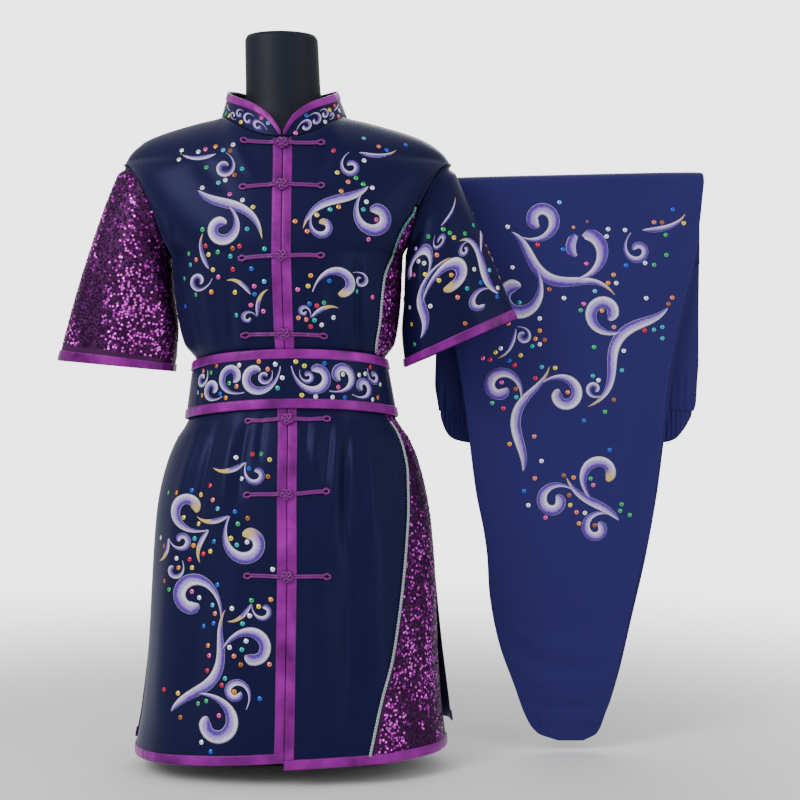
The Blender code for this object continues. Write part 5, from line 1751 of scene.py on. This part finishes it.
BELT = (("curl", 7, 58, 278, 102, 303, 12), ("curl", 55, 24, 349, 91, 350, 11),
        ("curl", 87, 22, 331, 69, 361, 9),
        ("curl", 117, 61, 252, 51, 366, 7), ("curl", 19, 53, 256, 45, 356, 6),
        ("leaf", 30, 58, -8, 40, -34, 7),
        ("leaf", 88, 24, -10, 34, 40, 6))
COLLAR = (("curl", 19, 7, 75, 45, -364, 5.3), ("curl", 37, 23, 23, 39, -318, 5),
          ("curl", 55, 24, 24, 33, -355, 4.4),
          ("curl", 68, 10, 321, 27, 365, 4), ("leaf", 82, 16, 10, 22, 40, 4),
          ("curl", 100, 8, 40, 24, 320, 4))


def mirrored(plan):
    """A plan for one side, and its mirror image on the other."""
    return plan + tuple((kind, -x, z, 180 - heading, size, -bend, width)
                        for kind, x, z, heading, size, bend, width in plan)


BOARDS = (
    ("chest_right", CHEST_RIGHT, on_front, in_front_panel(-1, 580.0, 860.0), 61, 44, 12.0),
    ("chest_left", CHEST_LEFT, on_front, in_front_panel(1, 580.0, 860.0), 62, 36, 12.0),
    ("skirt_right", SKIRT_RIGHT, on_front, in_front_panel(-1, 44.0, 466.0), 63, 70, 13.0),
    ("sleeve_left", SLEEVE, left_sleeve_cloth,
     lambda u, v: (v > 19.0) & (v < 176.0) & (np.abs(u) < 160.0), 65, 60, 12.0),
    ("belt", mirrored(BELT), belt_cloth, lambda u,
     v: (v > 15.5) & (v < 63.5) & (np.abs(u) < 140.0) & (np.abs(u) > 4.0), 66, 34, 10.0),
    ("collar", mirrored(COLLAR), collar_cloth, lambda u,
     v: (v > 3.0) & (v < 28.0) & (np.abs(u) > 16) & (np.abs(u) < 120), 67, 16, 7.0),
    ("leg", LEG, leg_face, in_leg, 68, 90, 14.0),
)
boards = {}
for label, plan, cloth, inside, seed, loose, spread in BOARDS:
    board = Embroidery(cloth, inside, seed)
    for kind, x, z, heading, size, bend, width in plan:
        if kind == "vine":
            board.vine(x, z, heading, size, bend, width)
        elif kind == "cloud":
            board.cloud(x, z, heading, size, bend)
        else:
            board.scroll(x, z, heading, size, bend, width, kind == "curl", 0.0 if kind == "curl" else 0.5)
    board.scatter(loose, spread)
    board.sew(f"embroidery_{label}", "trouser_satin" if label == "leg" else "navy_satin")
    boards[label] = board
print("sequins to sew:", sum(len(board.taken) for board in boards.values()))

# %% [markdown]
# ## Loose sequins
# Small round cup sequins in many colours are sewn among the scrolls. Each is a shallow cone of film
# with a hole for its thread. A tree puts one on each marked point and turns it to face outwards.

# %% Cup sequins
def shiny_film(name, roughness, metallic):
    made = Finish(name, Roughness=roughness, Metallic=metallic, Specular_IOR_Level=0.2)
    made.feed("Base Color", made.attribute("tint", output=0))
    fine = made.noise(made.place(), 700.0, 1.0)
    made.feed("Roughness", roughness - 0.05 + 0.1 * fine)
    return made.material


SEQUIN_FILM = shiny_film("sequin film", 0.26, 0.5)
CUP_TINTS = np.array([(0.80, 0.84, 0.88), (0.03, 0.42, 0.12), (0.02, 0.40, 0.38), (0.02, 0.10, 0.55),
                      (0.10, 0.42, 0.72), (0.62, 0.02, 0.05), (0.72, 0.08, 0.34), (0.78, 0.20, 0.12),
                      (0.80, 0.30, 0.03), (0.36, 0.12, 0.03), (0.80, 0.62, 0.05)])
cup_tree = Grown("cup sequins on their marks", Sequin_radius=0.0031, Hole=0.0008, Cup=0.0009)
given = cup_tree.given
cup = cup_tree.node("GeometryNodeMeshCone", {"fill_type": "NONE"},
                    {"Vertices": 12, "Radius Top": given["Hole"], "Radius Bottom": given["Sequin radius"],
                     "Depth": given["Cup"]})
facing = cup_tree.node("GeometryNodeInputNamedAttribute", {"data_type": "FLOAT_VECTOR"}, {"Name": "facing"})
turned = cup_tree.node("FunctionNodeAlignRotationToVector", {"axis": "Z"}, {"Vector": facing})
marks = cup_tree.node("GeometryNodeMeshToPoints", None, {"Mesh": given["Geometry"]})
cup_tree.finish(cup_tree.node("GeometryNodeInstanceOnPoints", None,
                              {"Points": marks, "Instance": cup, "Rotation": turned}))


def marked_points(points, facing, tints):
    seed = thread_lines([np.asarray(points)], attributes={
        "facing": ("FLOAT_VECTOR", facing),
        "tint": ("FLOAT_COLOR", np.concatenate([tints, np.ones((len(tints), 1))], axis=1))})
    return seed


for label, board in boards.items():
    if not board.taken:
        continue
    u, v = np.array(board.taken).T
    low, high = board.cloth(u, v, np.full(len(u), 0.25)), board.cloth(u, v, np.full(len(u), 1.25))
    tints = CUP_TINTS[board.draw.choice(len(CUP_TINTS), len(u),
                                        p=np.array([3, 2, 2, 2, 1, 1.5, 1.5, 1, 1.5, 1, 1.5]) / 18)]
    made = cup_tree.grow(f"sequins_{label}", marked_points(low, unit(high - low), tints), Finish=SEQUIN_FILM)
    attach(made, "root")
    "trouser_satin" if label == "leg" else "navy_satin"
    print(made.name, len(u))

# %% [markdown]
# ## Cloth covered in sequins
# The right sleeve and the side panel are sewn all over with flat sequins that overlap at random.
# Points spread evenly over the cloth carry a disc each, tilted a little every way, so that only some
# catch the light. Their tint is dark plum, with painted glints: upright streaks of bright magenta.

# %% Sequinned cloth
COVER_FILM = shiny_film("plum film with painted glints", 0.36, 0.8)
cover_tree = Grown("cloth covered in sequins", Spacing=0.0028, Disc_radius=0.0017, Streak=24.0)
given = cover_tree.given
spread = cover_tree.tree.nodes.new("GeometryNodeDistributePointsOnFaces")
spread.distribute_method = "POISSON"
cover_tree.tree.links.new(given["Geometry"], spread.inputs["Mesh"])
cover_tree.tree.links.new(given["Spacing"], spread.inputs["Distance Min"])
spread.inputs["Density Max"].default_value = 400000.0
spread.inputs["Seed"].default_value = 7
where = cover_tree.node("GeometryNodeInputPosition")
upright = cover_tree.node("ShaderNodeVectorMath", {"operation": "MULTIPLY"}, {0: where, 1: (1.0, 1.0, 0.28)})
streak = cover_tree.node("ShaderNodeTexNoise", None,
                         {"Vector": upright, "Scale": given["Streak"], "Detail": 3.0})
speck = cover_tree.node("FunctionNodeRandomValue", {"data_type": "FLOAT"}, {"Seed": 3}, output=1)
speck = cover_tree.node("ShaderNodeMath", {"operation": "MULTIPLY"}, {0: speck, 1: 0.42})
level = cover_tree.node("ShaderNodeMath", {"operation": "ADD"}, {0: streak, 1: speck})
# Discs with a high streak level are painted bright magenta, a painted glint; dark plum is the sequins' own colour
painted_glint = cover_tree.node("ShaderNodeMapRange", {"interpolation_type": "SMOOTHSTEP"},
                         {"Value": level, "From Min": 0.70, "From Max": 0.93})
tint = cover_tree.tree.nodes.new("ShaderNodeValToRGB")
plum_and_painted_glint_stops = ((0.0, (0.030, 0.0014, 0.038)), (0.35, (0.080, 0.0024, 0.092)), (0.7, (0.44, 0.013, 0.44)),
              (1.0, (0.96, 0.100, 0.92)))
for place, _ in plum_and_painted_glint_stops[1:-1]:
    tint.color_ramp.elements.new(place)
for stop, (place, colour) in zip(tint.color_ramp.elements, plum_and_painted_glint_stops):
    stop.position = place
    stop.color = (*colour, 1.0)
cover_tree.tree.links.new(painted_glint, tint.inputs[0])
kept = cover_tree.node("GeometryNodeStoreNamedAttribute", {"data_type": "FLOAT_COLOR", "domain": "POINT"},
                       {"Geometry": spread.outputs["Points"], "Name": "tint", "Value": tint.outputs[0]})
tilted = cover_tree.node("FunctionNodeRandomValue", {"data_type": "FLOAT_VECTOR"},
                         {"Min": (-0.26, -0.26, 0.0), "Max": (0.26, 0.26, 6.28), "Seed": 11})
turned = cover_tree.node("FunctionNodeRotateRotation", {"rotation_space": "LOCAL"},
                         {"Rotation": spread.outputs["Rotation"], "Rotate By": tilted})
disc = cover_tree.node("GeometryNodeMeshCircle", {"fill_type": "NGON"},
                       {"Vertices": 6, "Radius": given["Disc radius"]})
cover_tree.finish(cover_tree.node("GeometryNodeInstanceOnPoints", None,
                                  {"Points": kept, "Instance": disc, "Rotation": turned}))


def cover(name, grid, flip, ring):
    rows, wide = grid.shape[:2]
    seed = add_mesh("ground", grid.reshape(-1, 3), grid_faces(rows, wide, 0, ring, flip).tolist())
    made = cover_tree.grow(name, seed, Finish=COVER_FILM)
    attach(made, "root")
    print(name, "sequins:", len(made.data.polygons))


cover("sequins_sleeve_right", sleeve_skin(RIGHT_SLEEVE, RIGHT_FLUTES,
                                          np.linspace(0.006, 0.925, 60)[:, None], PHASES, 0.45),
      True, True)
cover("sequins_side_panel", side_panel_grid(CLOTH + 0.45)[3:, 1:-1], False, False)

# %% [markdown]
# ## Floor, light and camera
# The uniform was photographed against white under large soft boxes. A white world and a pale floor
# that fades into it give the same plain ground, and three large area lights give satin its broad
# shine: a key from the upper left, a fill from the right and one behind for the edges. The camera
# looks level along +Y from the middle of the picture's height.

# %% Floor
floor_rings = np.linspace(0.0, 1.0, 40) ** 1.3 * 2600.0
floor_angle = np.linspace(0, 2 * math.pi, 97)[:-1]
floor_points = np.stack(np.broadcast_arrays(150 + floor_rings[:, None] * np.cos(floor_angle),
                                            60 + floor_rings[:, None] * np.sin(floor_angle),
                                            np.zeros((40, 96)) - 0.6), -1)
floor = add_mesh("floor", floor_points, grid_faces(40, 96, ring=True).tolist())
floor_finish = Finish("pale floor", Roughness=0.9, Specular_IOR_Level=0.1)
floor_place = floor_finish.node("ShaderNodeVectorMath", {"operation": "LENGTH"}, {0: floor_finish.place()},
                                output=1)
floor_finish.feed("Base Color", floor_finish.mix(floor_place.span(0.4, 2.4), (0.80, 0.80, 0.81),
                                                 (0.9, 0.9, 0.9)))
floor_finish.feed("Alpha", 1.0 - floor_place.span(0.5, 2.3))
floor.data.materials.append(floor_finish.material)
floor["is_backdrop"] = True

# %% Lights and camera
world = bpy.data.worlds.new("studio")
bpy.context.scene.world = world
world.use_nodes = True
world.node_tree.nodes["Background"].inputs["Color"].default_value = (1.0, 1.0, 1.0, 1.0)
# The ground behind the uniform looks white, and lights it more softly than it looks
seen = world.node_tree.nodes.new("ShaderNodeLightPath").outputs["Is Camera Ray"]
strength = world.node_tree.nodes.new("ShaderNodeMapRange")
world.node_tree.links.new(seen, strength.inputs["Value"])
strength.inputs["To Min"].default_value, strength.inputs["To Max"].default_value = 0.85, 3.4
world.node_tree.links.new(strength.outputs[0], world.node_tree.nodes["Background"].inputs["Strength"])


def soft_box(name, place, target, width, height, power, colour=(1.0, 1.0, 1.0)):
    data = bpy.data.lights.new(name, "AREA")
    data.shape = "RECTANGLE"
    data.size, data.size_y = width, height
    data.energy = power
    data.color = colour
    light = bpy.data.objects.new(name, data)
    bpy.context.scene.collection.objects.link(light)
    light.location = place
    aim = np.array(target) - np.array(place)
    yaw = math.atan2(aim[1], aim[0]) - 0.5 * math.pi
    pitch = math.atan2(aim[2], math.hypot(aim[0], aim[1])) + 0.5 * math.pi
    light.rotation_euler = (pitch, 0.0, yaw)
    return light


soft_box("key", (-1.5, -1.9, 1.9), (0.05, 0.0, 0.55), 1.1, 1.5, 46.0)
soft_box("fill", (1.9, -1.7, 1.0), (0.15, 0.0, 0.5), 1.0, 1.8, 12.0)
soft_box("edge", (0.3, 1.9, 2.0), (0.1, 0.0, 0.6), 1.6, 0.8, 14.0)

camera_data = bpy.data.cameras.new("camera")
camera_data.sensor_width = 36.0
camera_data.lens = 67.5
camera = bpy.data.objects.new("camera", camera_data)
bpy.context.scene.collection.objects.link(camera)
camera.location = (0.153, -2.1, 0.505)
camera.rotation_euler = (0.5 * math.pi, 0.0, 0.0)
bpy.context.scene.camera = camera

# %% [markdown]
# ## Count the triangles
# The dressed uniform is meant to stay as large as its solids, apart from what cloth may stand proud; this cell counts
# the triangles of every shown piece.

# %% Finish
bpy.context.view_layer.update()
triangles = {o.name: sum(len(p.vertices) - 2 for p in o.data.polygons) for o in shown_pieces()
             if o.type == "MESH"}
print("triangles in all:", sum(triangles.values()), "largest:",
      sorted(triangles.items(), key=lambda t: -t[1])[:6])
